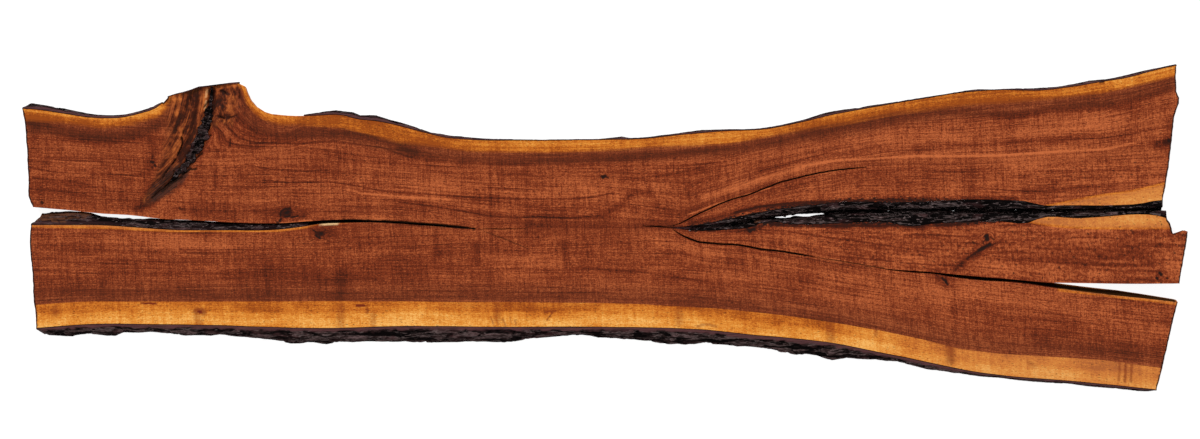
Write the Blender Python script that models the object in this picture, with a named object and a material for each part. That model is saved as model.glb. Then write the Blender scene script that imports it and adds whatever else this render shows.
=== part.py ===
"""A live-edge walnut slab, sawn lengthwise through a forked trunk and lying on its underside.

The wood is one board with five arms: a long split opens its left end, and a fork with bark in it
and a narrow gap open its right end. A torn branch stub with a ravine stands out of the back edge.
Bark clings to the edges, and each run of it is a piece of its own.

Lengths below are millimetres. X runs along the slab, Y across it, and Z is up from the underside.
"""
import bpy
import bmesh
import numpy as np
from mathutils import Vector, noise
from mathutils.geometry import delaunay_2d_cdt

METRES = 0.001
THICKNESS = 55.0
BARK_CLEARANCE = 0.4
FACE_EPSILON = 1e-4

# Depths below the top face, as shares of the thickness, at which the walls have a row of points
WALL_ROWS = (0.0, 0.5, 1.0)

# How far a slot's walls move back (+Y) from the top face to the underside, as (x, lean)
UPRIGHT = ((-1500, 0), (1500, 0))
SPLIT_LEAN = ((-1434, 1), (-1100, 2), (-900, 8), (-720, 14), (-319, 14))
GAP_LEAN = ((654, 14), (1438, 14))

# Outline of the top face, clockwise from the back left corner, as runs that meet at corners.
# Each run ends where the next one starts.
BACK_EDGE = (
    (-1456, 296), (-1424, 294), (-1361, 285), (-1299, 275), (-1249, 272), (-1211, 273), (-1161, 284),
    (-1124, 296), (-1104, 311), (-1096, 322), (-1074, 331), (-1041, 339), (-1019, 348), (-994, 351),
    (-956, 356), (-921, 359), (-901, 356), (-894, 340), (-884, 318), (-866, 298), (-844, 286),
    (-804, 280), (-736, 278), (-654, 279), (-619, 270), (-566, 264), (-511, 252), (-461, 239),
    (-411, 226), (-349, 219), (-211, 216), (-11, 218), (89, 220), (189, 230), (289, 239), (414, 246),
    (489, 261), (564, 279), (664, 298), (789, 319), (889, 335), (989, 342), (1101, 342), (1164, 350),
    (1239, 362), (1314, 375), (1376, 392),
)
RIGHT_END_BACK = (
    (1431, 404), (1430, 368), (1431, 338), (1439, 318), (1430, 295), (1422, 242), (1414, 168),
    (1405, 110),
)
FORK_BACK_LIP = (
    (1396, 68), (1376, 66), (1339, 59), (1276, 55), (1164, 55), (1089, 56), (1059, 64), (1001, 68),
    (926, 70), (839, 65), (714, 62), (614, 64), (526, 56), (439, 46), (364, 32), (301, 18), (239, 6),
)
FORK_FRONT_LIP = (
    (166, -1), (214, -8), (326, -5), (364, -1), (389, 9), (489, 6), (614, 11), (714, 11), (756, 2),
    (826, 9), (914, 13), (989, 14), (1059, 10), (1089, 22), (1189, 22), (1276, 28), (1339, 32),
    (1384, 28),
)
RIGHT_END_MIDDLE = (
    (1406, 22), (1414, 12), (1418, 0), (1424, -18), (1434, -14), (1456, -8), (1454, -45),
    (1446, -95),
)
GAP_MIDDLE_LIP = (
    (1438, -141), (1339, -142), (1189, -140), (1101, -138), (1026, -131), (951, -125), (876, -118),
    (801, -111), (714, -105),
)
GAP_FRONT_LIP = (
    (654, -96), (714, -108), (764, -114), (826, -118), (876, -127), (951, -135), (1039, -140),
    (1139, -155), (1264, -170), (1364, -180),
)
RIGHT_END_FRONT = ((1434, -188), (1426, -220), (1414, -275), (1399, -335), (1389, -380))
FRONT_EDGE = (
    (1381, -406), (1289, -396), (1139, -382), (1014, -372), (926, -361), (864, -349), (776, -330),
    (676, -310), (576, -290), (489, -279), (364, -268), (264, -257), (164, -252), (-11, -249),
    (-261, -249), (-561, -248), (-661, -252), (-811, -250), (-961, -245), (-1161, -242),
    (-1286, -242), (-1361, -247),
)
LEFT_END_FRONT = (
    (-1421, -252), (-1424, -212), (-1429, -162), (-1430, -112), (-1435, -72), (-1437, -28),
)
SPLIT_FRONT_LIP = (
    (-1434, 5), (-1361, 5), (-1249, 4), (-1161, -2), (-1086, -7), (-961, -8), (-811, -6), (-761, 0),
    (-716, 7), (-649, 10), (-549, 11), (-474, 5), (-399, 0),
)
SPLIT_BACK_LIP = (
    (-319, -5), (-411, 5), (-511, 12), (-586, 17), (-654, 19), (-736, 15), (-811, 10), (-911, 11),
    (-1024, 17), (-1111, 21), (-1186, 30), (-1261, 34), (-1336, 42),
)
LEFT_END_BACK = ((-1429, 50), (-1438, 68), (-1441, 122), (-1444, 180), (-1448, 242), (-1452, 275))

# Runs in order: name, points, spacing of the sampled points, roughness, lean of the wall
RUNS = (
    ("back_edge", BACK_EDGE, 20, 0.6, UPRIGHT),
    ("right_end_back", RIGHT_END_BACK, 16, 1.6, UPRIGHT),
    ("fork_back_lip", FORK_BACK_LIP, 25, 0.5, UPRIGHT),
    ("fork_front_lip", FORK_FRONT_LIP, 25, 0.5, UPRIGHT),
    ("right_end_middle", RIGHT_END_MIDDLE, 14, 1.0, UPRIGHT),
    ("gap_middle_lip", GAP_MIDDLE_LIP, 30, 0.2, GAP_LEAN),
    ("gap_front_lip", GAP_FRONT_LIP, 30, 0.2, GAP_LEAN),
    ("right_end_front", RIGHT_END_FRONT, 16, 1.6, UPRIGHT),
    ("front_edge", FRONT_EDGE, 22, 0.5, UPRIGHT),
    ("left_end_front", LEFT_END_FRONT, 16, 1.8, UPRIGHT),
    ("split_front_lip", SPLIT_FRONT_LIP, 25, 0.3, SPLIT_LEAN),
    ("split_back_lip", SPLIT_BACK_LIP, 30, 0.2, SPLIT_LEAN),
    ("left_end_back", LEFT_END_BACK, 16, 1.6, UPRIGHT),
)
ROUGHNESS_LENGTH = 45.0
LEAN_BLEND_STATIONS = 4

# How far bark stands out from the top wood line, as (x, reach) along each run that carries it
FRONT_BARK = (
    (-1421, 6), (-1399, 20), (-1336, 30), (-1311, 24), (-1224, 32), (-1201, 22), (-1141, 22),
    (-1011, 30), (-956, 26), (-824, 35), (-749, 39), (-586, 38), (-424, 44), (-374, 38), (-236, 43),
    (-199, 32), (-136, 26), (-49, 21), (-11, 30), (89, 34), (159, 43), (214, 40), (259, 34), (339, 35),
    (396, 33), (489, 42), (539, 39), (576, 47), (609, 32), (664, 24), (739, 16), (814, 19), (876, 14),
    (989, 9), (1089, 11), (1164, 9), (1201, 11), (1351, 10), (1381, 4),
)
BACK_LEFT_BARK = (
    (-1456, 5), (-1441, 16), (-1361, 14), (-1311, 12), (-1261, 10), (-1161, 8), (-1124, 11),
    (-1101, 4),
)
STUB_BARK = ((-1099, 3), (-1011, 4), (-936, 4), (-919, 7), (-906, 3))
BACK_RIGHT_BARK = (
    (-761, 3), (-716, 10), (-649, 13), (-636, 17), (-619, 11), (-566, 17), (-549, 12), (-476, 9),
    (-436, 6), (-411, 9), (-311, 7), (-211, 4), (-11, 4), (44, 9), (56, 5), (164, 6), (239, 9),
    (339, 5), (451, 6), (514, 7), (551, 11), (576, 10), (639, 7), (789, 5), (864, 4), (939, 7),
    (981, 3), (1026, 6), (1101, 9), (1139, 6), (1214, 10), (1264, 6), (1339, 9), (1389, 5), (1431, 5),
)
SPLIT_BARK = (
    (-1434, 5), (-1419, 23), (-1386, 30), (-1311, 36), (-1286, 32), (-1274, 20), (-1211, 17),
    (-1124, 25), (-1086, 25), (-1036, 23), (-986, 19), (-949, 16), (-861, 16), (-761, 11), (-716, 6),
)
SHARE_OF_BARK_UNDER_WHICH_WOOD_FLARES = 0.3

# The middle of the opening between the two barks of the fork, which they never cross
FORK_MIDDLE = (
    (166, -1), (239, 0), (314, 7), (389, 20), (439, 24), (489, 29), (551, 34), (614, 38), (739, 40),
    (989, 40), (1114, 41), (1314, 43), (1420, 44),
)
FORK_BARK_SPAN = (200, 1412)
FORK_HALF_GAP = 22.0
FORK_LEAST_CLEARANCE = 0.8
FORK_ROUGHNESS = 3.0
# As (height share, value): how far each bark stays from the middle, and how far the middle winds,
# so that only the window lets light through
FORK_CLEARANCE = ((0.0, 4.0), (0.17, 0.9), (0.5, 0.9), (0.83, 4.5), (1.0, 6.5))
FORK_WINDING = ((0.0, -2.5), (0.17, -2.5), (0.5, 2.5), (0.83, 0.0), (1.0, 0.0))
FORK_WINDOW = (425, 548)
FORK_WINDOW_CLEARANCE = 5.0
SPLIT_CLEARANCE = 1.4

# Cross-section of a bark strip from the sawn top face round to the sawn underside:
# share of the reach, height as a share of the thickness
BARK_SECTION = ((0.48, 0.995), (0.86, 0.83), (1.0, 0.5), (0.92, 0.17), (0.6, 0.006))
BARK_LEAST_THICKNESS = 2.5
BARK_RIDGE_SHARE = 0.14
BARK_RIDGE_LENGTH = 38.0

# The ravine down through the branch stub, where bark was folded into the wood
RAVINE_PATH = (
    (-982, 362), (-984, 318), (-989, 288), (-996, 262), (-1006, 230), (-1019, 200), (-1034, 175),
    (-1051, 150), (-1071, 130), (-1091, 110), (-1116, 88), (-1141, 68),
)
RAVINE_STEP = 13.0
RAVINE_HALF_WIDTH = ((0, 9), (60, 10), (120, 13), (220, 12), (300, 7), (360, 3))
RAVINE_DEPTH = ((0, 24), (60, 23), (150, 20), (230, 15), (300, 7), (350, 0))
RIM_DEPTH = ((0, 12), (80, 12), (200, 8), (300, 3), (350, 0))
TORN_WIDTH = ((0, 95), (60, 95), (150, 75), (250, 45), (320, 14), (360, 8))
TORN_ROWS = (-14, -26, -38, -50, -62, -74, -86, -98)
TORN_RIDGE_HEIGHT = 2.4
TORN_RIDGE_SPACING = 24.0
TORN_RIDGE_LENGTH = 90.0
STUB_WIDTH = 84.0
STUB_ROWS = (28, 42, 56, 70, 84)
STUB_END = 110.0
RIM_FALL = 12.0
EDGE_MARGIN = 7.0

# The folded-in bark that still fills the middle of the ravine
INCLUSION_SPAN = (22, 292)
INCLUSION_SHARE = 0.8
INCLUSION_CLEARANCE = 0.7
INCLUSION_HEIGHT = ((0, 2.4), (60, 4.5), (120, 7.5), (220, 6.5), (300, 2.4))

WOOD_COLOUR = (0.24, 0.062, 0.022)
BARK_COLOUR = (0.028, 0.020, 0.018)


def clear_scene():
    for old in list(bpy.data.objects):
        bpy.data.objects.remove(old, do_unlink=True)


def read_table(table, where):
    keys, values = zip(*table)
    return np.interp(where, keys, values)


def wobble(x, y, length, layer):
    """Smooth seeded unevenness between about -1 and 1."""
    return noise.noise(Vector((x / length, y / length, layer)))


def smooth_curve(points, spacing):
    """Sampled points and unit normals (to the left) along a smooth curve through the points."""
    points = np.asarray(points, dtype=float)
    chords = np.linalg.norm(np.diff(points, axis=0), axis=1)
    marks = np.concatenate([[0.0], np.cumsum(chords)])
    slopes = np.gradient(points, marks, axis=0)
    slopes[0] = (points[1] - points[0]) / chords[0]
    slopes[-1] = (points[-1] - points[-2]) / chords[-1]
    count = max(2, int(round(marks[-1] / spacing)))
    where = np.linspace(0.0, marks[-1], count + 1)
    piece = np.clip(np.searchsorted(marks, where, side="right") - 1, 0, len(chords) - 1)
    length = chords[piece][:, None]
    t = ((where - marks[piece]) / chords[piece])[:, None]
    start, end = points[piece], points[piece + 1]
    start_slope, end_slope = slopes[piece] * length, slopes[piece + 1] * length
    curve = (
        (2 * t**3 - 3 * t**2 + 1) * start
        + (t**3 - 2 * t**2 + t) * start_slope
        + (3 * t**2 - 2 * t**3) * end
        + (t**3 - t**2) * end_slope
    )
    tangents = np.gradient(curve, axis=0)
    tangents /= np.linalg.norm(tangents, axis=1)[:, None]
    normals = np.stack([-tangents[:, 1], tangents[:, 0]], axis=1)
    return curve, normals, where


class Outline:
    """The top outline as stations, with how far the wall has moved at each row below them."""

    def __init__(self):
        starts = [run[1][0] for run in RUNS]
        self.stations, self.normals, self.lean, self.flare, self.span = [], [], [], [], {}
        for place, (name, points, spacing, roughness, lean) in enumerate(RUNS):
            closing = starts[(place + 1) % len(RUNS)]
            curve, normals, _ = smooth_curve(points + (closing,), spacing)
            first = len(self.stations)
            for index, (spot, normal) in enumerate(zip(curve, normals)):
                if index == len(curve) - 1:
                    break
                rough = roughness * wobble(spot[0], spot[1], ROUGHNESS_LENGTH, place)
                shift = normal * rough if index else 0.0
                self.stations.append(spot + shift)
                self.normals.append(normal)
                self.lean.append(read_table(lean, spot[0]))
                self.flare.append(self.wood_flare(name, spot[0]))
            self.span[name] = (first, len(self.stations), normals[-1])
        self.stations = np.array(self.stations)
        self.normals = np.array(self.normals)
        self.lean = self.blend(np.array(self.lean))
        self.flare = self.blend(np.array(self.flare))

    @staticmethod
    def wood_flare(name, x):
        if name != "front_edge":
            return 0.0
        return SHARE_OF_BARK_UNDER_WHICH_WOOD_FLARES * read_table(FRONT_BARK, x)

    @staticmethod
    def blend(values):
        """Evens a value out along the closed outline, so that walls don't fold at corners."""
        window = range(-LEAN_BLEND_STATIONS, LEAN_BLEND_STATIONS + 1)
        return sum(np.roll(values, step) for step in window) / len(window)

    def wall_point(self, index, depth):
        """Point of the wood's wall below one station, at a share of the thickness."""
        spot = self.stations[index] + self.normals[index] * self.flare[index] * depth
        return np.array([spot[0], spot[1] + self.lean[index] * depth])

    def run(self, name, low, high):
        """Stations of a run between two x values, each with the normal that the run has there."""
        first, last, last_normal = self.span[name]
        pairs = [(index, self.normals[index]) for index in range(first, last)]
        pairs.append((last % len(self.stations), last_normal))
        return [(i, n) for i, n in pairs if low <= self.stations[i][0] <= high]


class Ravine:
    """The groove through the stub: places along it and across it, and the depth it gives."""

    def __init__(self):
        self.path, self.across, self.marks = smooth_curve(RAVINE_PATH, RAVINE_STEP)

    def locate(self, x, y):
        """How far along the ravine a point is, and how far to its right (+) or left (-)."""
        gaps = self.path - np.array([x, y])
        nearest = int(np.argmin(np.hypot(gaps[:, 0], gaps[:, 1])))
        return self.marks[nearest], float(-gaps[nearest] @ self.across[nearest])

    def depth(self, along, side):
        """Depth below the top face, with torn ridges left of the groove and a worn stub right."""
        half = read_table(RAVINE_HALF_WIDTH, along)
        rim = read_table(RIM_DEPTH, along)
        if abs(side) <= half:
            return rim + (read_table(RAVINE_DEPTH, along) - rim) * (1.0 - abs(side) / half)
        if side < 0:
            torn = read_table(TORN_WIDTH, along)
            share = np.clip((torn + side) / max(torn - half, 1.0), 0.0, 1.0)
            crest = np.cos(2.0 * np.pi * (side - TORN_ROWS[0]) / TORN_RIDGE_SPACING)
            ridge = TORN_RIDGE_HEIGHT * crest * (0.6 + wobble(along, side, TORN_RIDGE_LENGTH, 3))
            return max(0.0, share * rim - ridge * min(1.0, share * rim / 4.0))
        share = np.clip((STUB_WIDTH - side) / (STUB_WIDTH - half), 0.0, 1.0)
        worn = share * rim * np.clip((STUB_END - along) / STUB_END, 0.0, 1.0)
        near = np.clip((half + RIM_FALL - side) / RIM_FALL, 0.0, 1.0) * rim
        return float(max(worn, near))

    def spot(self, index, side):
        return self.path[index] + self.across[index] * side

    def top_points(self):
        """Rows of points that the top face needs to carry the groove and the torn wood."""
        rows = []
        for index, along in enumerate(self.marks):
            half = read_table(RAVINE_HALF_WIDTH, along)
            torn = read_table(TORN_WIDTH, along)
            sides = [-half, 0.0, half, half + RIM_FALL]
            sides += [side for side in TORN_ROWS if side < -half - 6 and side > -torn - 12]
            if along < STUB_END + RAVINE_STEP:
                sides += [side for side in STUB_ROWS if side > half + RIM_FALL]
            rows += [(self.spot(index, side), self.depth(along, side)) for side in sides]
        return rows


def inside(loop, point, margin):
    """Whether a point lies in the closed loop and at least a margin away from it."""
    ends = np.roll(loop, -1, axis=0)
    x, y = point
    spans = (loop[:, 1] > y) != (ends[:, 1] > y)
    crossing = loop[spans][:, 0] + (y - loop[spans][:, 1]) * (ends - loop)[spans][:, 0] / (
        (ends - loop)[spans][:, 1]
    )
    if np.count_nonzero(crossing > x) % 2 == 0:
        return False
    edge = ends - loop
    share = np.clip(((point - loop) * edge).sum(1) / (edge**2).sum(1), 0.0, 1.0)
    nearest = loop + edge * share[:, None]
    return np.hypot(*(nearest - point).T).min() >= margin


def fill_face(loop, extra=()):
    """Triangles over a closed loop, through extra points inside it, as indices into both."""
    flat = [Vector(spot) for spot in (*loop, *extra)]
    edges = [(i, (i + 1) % len(loop)) for i in range(len(loop))]
    _, _, faces, origin, _, _ = delaunay_2d_cdt(flat, edges, [], 1, FACE_EPSILON)
    return [[origin[corner][0] for corner in face] for face in faces]


def material(name, colour, roughness):
    made = bpy.data.materials.new(name)
    made.use_nodes = True
    shader = made.node_tree.nodes["Principled BSDF"]
    shader.inputs["Base Color"].default_value = (*colour, 1.0)
    shader.inputs["Roughness"].default_value = roughness
    shader.inputs["Metallic"].default_value = 0.0
    return made


def make_object(name, vertices, faces, finish):
    """One closed object from points in millimetres, with its faces turned outwards."""
    mesh = bpy.data.meshes.new(name)
    mesh.from_pydata([Vector(v) * METRES for v in vertices], [], faces)
    shape = bmesh.new()
    shape.from_mesh(mesh)
    bmesh.ops.triangulate(shape, faces=shape.faces[:])
    bmesh.ops.recalc_face_normals(shape, faces=shape.faces[:])
    shape.to_mesh(mesh)
    shape.free()
    mesh.materials.append(finish)
    made = bpy.data.objects.new(name, mesh)
    bpy.context.collection.objects.link(made)
    return made


def wood_slab(outline, ravine, finish):
    """The whole board: a relieved top face, walls in rows and a flat underside."""
    count = len(outline.stations)
    rows = []
    for depth in WALL_ROWS:
        rows.append(np.array([outline.wall_point(i, depth) for i in range(count)]))
    top_depth = [ravine.depth(*ravine.locate(*spot)) for spot in rows[0]]
    relief = [
        (spot, depth)
        for spot, depth in ravine.top_points()
        if inside(rows[0], spot, EDGE_MARGIN)
    ]
    vertices = [(*spot, THICKNESS - depth) for spot, depth in zip(rows[0], top_depth)]
    for share, row in zip(WALL_ROWS[1:], rows[1:]):
        vertices += [(*spot, THICKNESS * (1.0 - share)) for spot in row]
    first_relief = len(vertices)
    vertices += [(*spot, THICKNESS - depth) for spot, depth in relief]

    faces = []
    for triangle in fill_face(rows[0], [spot for spot, _ in relief]):
        faces.append([i if i < count else i - count + first_relief for i in triangle])
    for triangle in fill_face(rows[-1]):
        faces.append([i + count * (len(rows) - 1) for i in reversed(triangle)])
    for row in range(len(rows) - 1):
        for i in range(count):
            after = (i + 1) % count
            top, below = row * count, (row + 1) * count
            faces.append([top + i, top + after, below + after, below + i])
    return make_object("wood_slab", vertices, faces, finish)


def standing_bark(outline, table, layer, limit=None):
    """Bark on an open edge: where its outside is at a station, a share of the reach and a height."""

    def outside(station, normal, share, level):
        depth = 1.0 - level
        x = outline.stations[station][0]
        ridge = wobble(x, level * THICKNESS * 2.2, BARK_RIDGE_LENGTH, layer)
        reach = share * read_table(table, x) * (1.0 + BARK_RIDGE_SHARE * ridge)
        least = outline.flare[station] * depth + BARK_LEAST_THICKNESS
        spot = outline.stations[station] + normal * max(reach, least)
        if limit is not None:
            spot[1] = limit(spot)
        return [spot[0], spot[1] + outline.lean[station] * depth]

    return outside


def fork_bark(outline, side, layer):
    """Bark in the fork: it fills the opening from one lip (side 1 back, -1 front) to the middle."""

    def outside(station, normal, share, level):
        x, lip = outline.stations[station]
        middle = read_table(FORK_MIDDLE, x)
        narrow = min(1.0, abs(lip - middle) / FORK_HALF_GAP)
        rough = FORK_ROUGHNESS * abs(wobble(x, level * THICKNESS, BARK_RIDGE_LENGTH, layer))
        clear = read_table(FORK_CLEARANCE, level)
        if FORK_WINDOW[0] <= x <= FORK_WINDOW[1]:
            clear = max(clear, FORK_WINDOW_CLEARANCE)
        wanted = max(FORK_LEAST_CLEARANCE, narrow * (clear + rough))
        y = middle + narrow * read_table(FORK_WINDING, level) + side * wanted
        thinnest = lip - side * BARK_LEAST_THICKNESS
        return [x, min(y, thinnest) if side > 0 else max(y, thinnest)]

    return outside


def bark_ring(outline, station, normal, outside):
    """The closed cross-section of a bark strip at one station of the wood's outline."""
    highest, lowest = BARK_SECTION[0][1] * THICKNESS, BARK_SECTION[-1][1] * THICKNESS
    ring = []
    for depth in reversed(WALL_ROWS):
        spot = outline.wall_point(station, depth) + normal * BARK_CLEARANCE
        ring.append([*spot, float(np.clip(THICKNESS * (1.0 - depth), lowest, highest))])
    for share, level in BARK_SECTION:
        ring.append([*outside(station, normal, share, level), level * THICKNESS])
    return ring


def loft(name, rings, finish):
    """One closed object through cross-sections that all have the same number of points."""
    size = len(rings[0])
    vertices = [point for ring in rings for point in ring]
    faces = [list(range(size)), [len(vertices) - size + i for i in range(size)]]
    for place in range(len(rings) - 1):
        for i in range(size):
            after = (i + 1) % size
            here, there = place * size, (place + 1) * size
            faces.append([here + i, here + after, there + after, there + i])
    return make_object(name, vertices, faces, finish)


def bark_strip(name, outline, run, span, outside, finish):
    """A strip of bark along part of a run, sawn flush with the top face and the underside."""
    rings = [bark_ring(outline, i, normal, outside) for i, normal in outline.run(run, *span)]
    return loft(name, rings, finish)


def edge_bark(name, outline, run, table, layer, finish, limit=None):
    span = (table[0][0], table[-1][0])
    outside = standing_bark(outline, table, layer, limit)
    return bark_strip(name, outline, run, span, outside, finish)


def split_limit(outline):
    """Keeps the bark in the split clear of the arm behind it."""
    back = sorted(map(tuple, outline.stations[slice(*outline.span["split_back_lip"][:2])]))

    def keep_clear(spot):
        return min(spot[1], read_table(back, spot[0]) - SPLIT_CLEARANCE)

    return keep_clear


def bark_inclusion(ravine, finish):
    """The lumpy bark lying in the ravine, a little clear of the wood all round."""
    rings = []
    for index, along in enumerate(ravine.marks):
        if not INCLUSION_SPAN[0] <= along <= INCLUSION_SPAN[1]:
            continue
        half = read_table(RAVINE_HALF_WIDTH, along) * INCLUSION_SHARE
        height = read_table(INCLUSION_HEIGHT, along)
        ring = []
        for side in (-half, 0.0, half):
            floor = THICKNESS - ravine.depth(along, side) + INCLUSION_CLEARANCE
            ring.append([*ravine.spot(index, side), floor])
        for side in (half, 0.0, -half):
            floor = THICKNESS - ravine.depth(along, side) + INCLUSION_CLEARANCE
            lump = height * (1.0 + 0.35 * wobble(along, side * 3, 14.0, 5))
            rise = lump if side == 0.0 else 0.45 * lump
            ring.append([*ravine.spot(index, side * 0.9), min(floor + rise, THICKNESS)])
        rings.append(ring)
    return loft("bark_inclusion", rings, finish)


def build():
    clear_scene()
    outline = Outline()
    ravine = Ravine()
    wood = material("walnut", WOOD_COLOUR, 0.55)
    bark = material("bark", BARK_COLOUR, 0.9)
    wood_slab(outline, ravine, wood)
    edge_bark("bark_front_edge", outline, "front_edge", FRONT_BARK, 11, bark)
    edge_bark("bark_back_left", outline, "back_edge", BACK_LEFT_BARK, 12, bark)
    edge_bark("bark_stub_tip", outline, "back_edge", STUB_BARK, 13, bark)
    edge_bark("bark_back_right", outline, "back_edge", BACK_RIGHT_BARK, 14, bark)
    limit = split_limit(outline)
    edge_bark("bark_left_split", outline, "split_front_lip", SPLIT_BARK, 15, bark, limit)
    back, front = fork_bark(outline, 1, 16), fork_bark(outline, -1, 17)
    bark_strip("bark_fork_back", outline, "fork_back_lip", FORK_BARK_SPAN, back, bark)
    bark_strip("bark_fork_front", outline, "fork_front_lip", FORK_BARK_SPAN, front, bark)
    bark_inclusion(ravine, bark)


build()
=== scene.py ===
"""The looks of the live-edge walnut slab: grain, sapwood, knots, cracks, torn wood and bark.

Points and lengths are millimetres, like the CAD part's: X along the slab, Y across it, Z up.
Tables whose names end in SEEN hold places as read in the photograph, in its pixels, and
from_photo turns them into millimetres; the widths in them are millimetres already.
"""

import bmesh
import bpy
import numpy as np
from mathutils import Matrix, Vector, noise
from mathutils.bvhtree import BVHTree
from mathutils.geometry import delaunay_2d_cdt


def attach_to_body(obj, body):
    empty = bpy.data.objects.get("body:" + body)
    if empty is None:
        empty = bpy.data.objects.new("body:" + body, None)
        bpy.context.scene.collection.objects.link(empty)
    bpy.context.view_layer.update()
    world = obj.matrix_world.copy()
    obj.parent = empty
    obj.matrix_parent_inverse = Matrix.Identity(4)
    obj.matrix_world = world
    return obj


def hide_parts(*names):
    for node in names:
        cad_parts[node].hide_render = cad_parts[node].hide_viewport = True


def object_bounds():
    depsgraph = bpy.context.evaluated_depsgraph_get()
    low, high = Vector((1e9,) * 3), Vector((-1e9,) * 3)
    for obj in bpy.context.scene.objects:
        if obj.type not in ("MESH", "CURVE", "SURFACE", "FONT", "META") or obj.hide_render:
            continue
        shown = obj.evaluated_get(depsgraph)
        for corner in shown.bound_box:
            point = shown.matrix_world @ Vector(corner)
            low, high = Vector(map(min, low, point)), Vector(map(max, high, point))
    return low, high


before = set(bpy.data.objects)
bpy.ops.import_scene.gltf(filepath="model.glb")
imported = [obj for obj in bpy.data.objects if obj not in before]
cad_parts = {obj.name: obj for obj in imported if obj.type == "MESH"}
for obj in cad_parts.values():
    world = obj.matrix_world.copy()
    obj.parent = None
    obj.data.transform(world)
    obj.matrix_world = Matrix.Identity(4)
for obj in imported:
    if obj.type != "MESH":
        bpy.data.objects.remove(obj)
cad_low, cad_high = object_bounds()

METRES = 0.001
MILLIMETRES = 1000.0
THICKNESS = cad_high[2] * MILLIMETRES
SEED = 7

# Camera: the photograph looks straight down; one of its pixels is 2.5 mm on the top face
PHOTO_PIXEL = 2.5
PHOTO_ORIGIN = (604.5, 227.0)
PHOTO_WIDTH = 3000.0
PHOTO_CENTRE = (-11.0, 19.0)
LENS = 200.0
SENSOR = 36.0

# Floor, sky and sun
FLOOR_HALF = 12000.0
FLOOR_DROP = 0.5
FLOOR_GREY = (0.25, 0.25, 0.25)
FLOOR_GLOW = 0.90
WHITE = (1.0, 1.0, 1.0)
SKY_STRENGTH = 0.70
SUN_STRENGTH = 1.7
SUN_WIDTH = 10.0
SUN_TILT = (-38.0, -32.0)

# Spacing of the fine wood mesh, and which CAD faces are its top and underside
TOP_SPACING = 6.0
MARK_SPACING = 2.2
STUB_SPACING = 3.2
UNDERSIDE_SPACING = 30.0
LINE_STEP = 5.0
RIM_WIDTH = 6.0
GRID_MARGIN = 8.5
WALL_CUTS = 4
UP_FACING = 0.45
DOWN_FACING = -0.9
STEEP = 0.7

# Lines that the grain follows, from the back edge to the front, each with its place in the rings
GRAIN_BACK_EDGE = (
    (-1456, 295), (-1261, 272), (-1111, 262), (-986, 258), (-856, 268), (-761, 278), (-654, 278),
    (-566, 264), (-461, 239), (-349, 219), (-211, 216), (-11, 218), (189, 230), (414, 246), (564, 279),
    (789, 319), (989, 342), (1164, 350), (1314, 375), (1434, 405),
)
GRAIN_DARK_BAND = (
    (-1456, 225), (-1361, 218), (-1261, 212), (-1111, 202), (-1011, 192), (-886, 200), (-761, 210),
    (-511, 180), (-336, 168), (-111, 165), (114, 170), (314, 185), (489, 218), (614, 240), (739, 265),
    (914, 272), (1114, 292), (1239, 295), (1364, 322), (1434, 338),
)
GRAIN_LIGHT_STREAK = (
    (-1456, 155), (-1261, 150), (-1136, 138), (-986, 128), (-761, 130), (-511, 118), (-261, 102),
    (-11, 92), (139, 72), (214, 60), (314, 92), (439, 130), (564, 160), (739, 175), (989, 180),
    (1239, 195), (1434, 212),
)
GRAIN_UPPER_CRACK = (
    (-1456, 78), (-1261, 68), (-1011, 58), (-761, 60), (-511, 58), (-436, 52), (-311, 35), (-161, 22),
    (-11, 22), (114, 12), (191, 8), (239, 35), (289, 58), (364, 82), (414, 102), (489, 125), (589, 144),
    (651, 150), (864, 152), (1114, 160), (1434, 175),
)
GRAIN_FORK_BACK = (
    (-1456, 42), (-1361, 40), (-1261, 32), (-1111, 20), (-886, 10), (-711, 15), (-511, 11), (-386, 2),
    (-321, -2), (-161, 0), (-11, 0), (166, -1), (239, 6), (364, 32), (439, 46), (614, 64), (839, 65),
    (1089, 56), (1434, 70),
)
GRAIN_FORK_FRONT = (
    (-1456, 8), (-1261, 4), (-1086, -6), (-811, -6), (-716, 6), (-511, 10), (-386, -1), (-321, -5),
    (-161, -3), (-11, -2), (166, -3), (239, -8), (389, 8), (614, 11), (989, 14), (1239, 25), (1456, 15),
)
GRAIN_LOWER_CRACK = (
    (-1456, -32), (-1261, -32), (-1011, -40), (-711, -38), (-511, -28), (-321, -20), (-161, -20),
    (-11, -18), (139, -15), (189, -18), (239, -38), (339, -45), (489, -68), (664, -96), (839, -116),
    (989, -131), (1139, -148), (1434, -168),
)
GRAIN_LOWER_MIDDLE = (
    (-1456, -95), (-1011, -102), (-511, -102), (-11, -102), (239, -112), (489, -142), (739, -182),
    (989, -220), (1434, -270),
)
FRONT_SAP_LINE = (
    (-1421, -195), (-1361, -190), (-1286, -186), (-511, -186), (-261, -188), (-11, -190), (89, -192),
    (189, -198), (289, -204), (389, -214), (489, -226), (589, -242), (689, -259), (789, -280),
    (889, -304), (989, -316), (1089, -322), (1239, -332), (1389, -352),
)
GRAIN_FRONT_EDGE = (
    (-1421, -252), (-1361, -247), (-1161, -242), (-961, -245), (-811, -250), (-561, -248), (-261, -249),
    (-11, -249), (164, -252), (264, -257), (364, -268), (489, -279), (576, -290), (676, -310),
    (776, -330), (864, -349), (926, -361), (1014, -372), (1139, -382), (1289, -396), (1381, -406),
)
GRAIN_LINES = (
    (GRAIN_BACK_EDGE, 265.0), (GRAIN_DARK_BAND, 200.0), (GRAIN_LIGHT_STREAK, 120.0),
    (GRAIN_UPPER_CRACK, 65.0), (GRAIN_FORK_BACK, 10.0), (GRAIN_FORK_FRONT, 0.0),
    (GRAIN_LOWER_CRACK, -40.0), (GRAIN_LOWER_MIDDLE, -110.0), (FRONT_SAP_LINE, -200.0),
    (GRAIN_FRONT_EDGE, -255.0),
)
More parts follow.
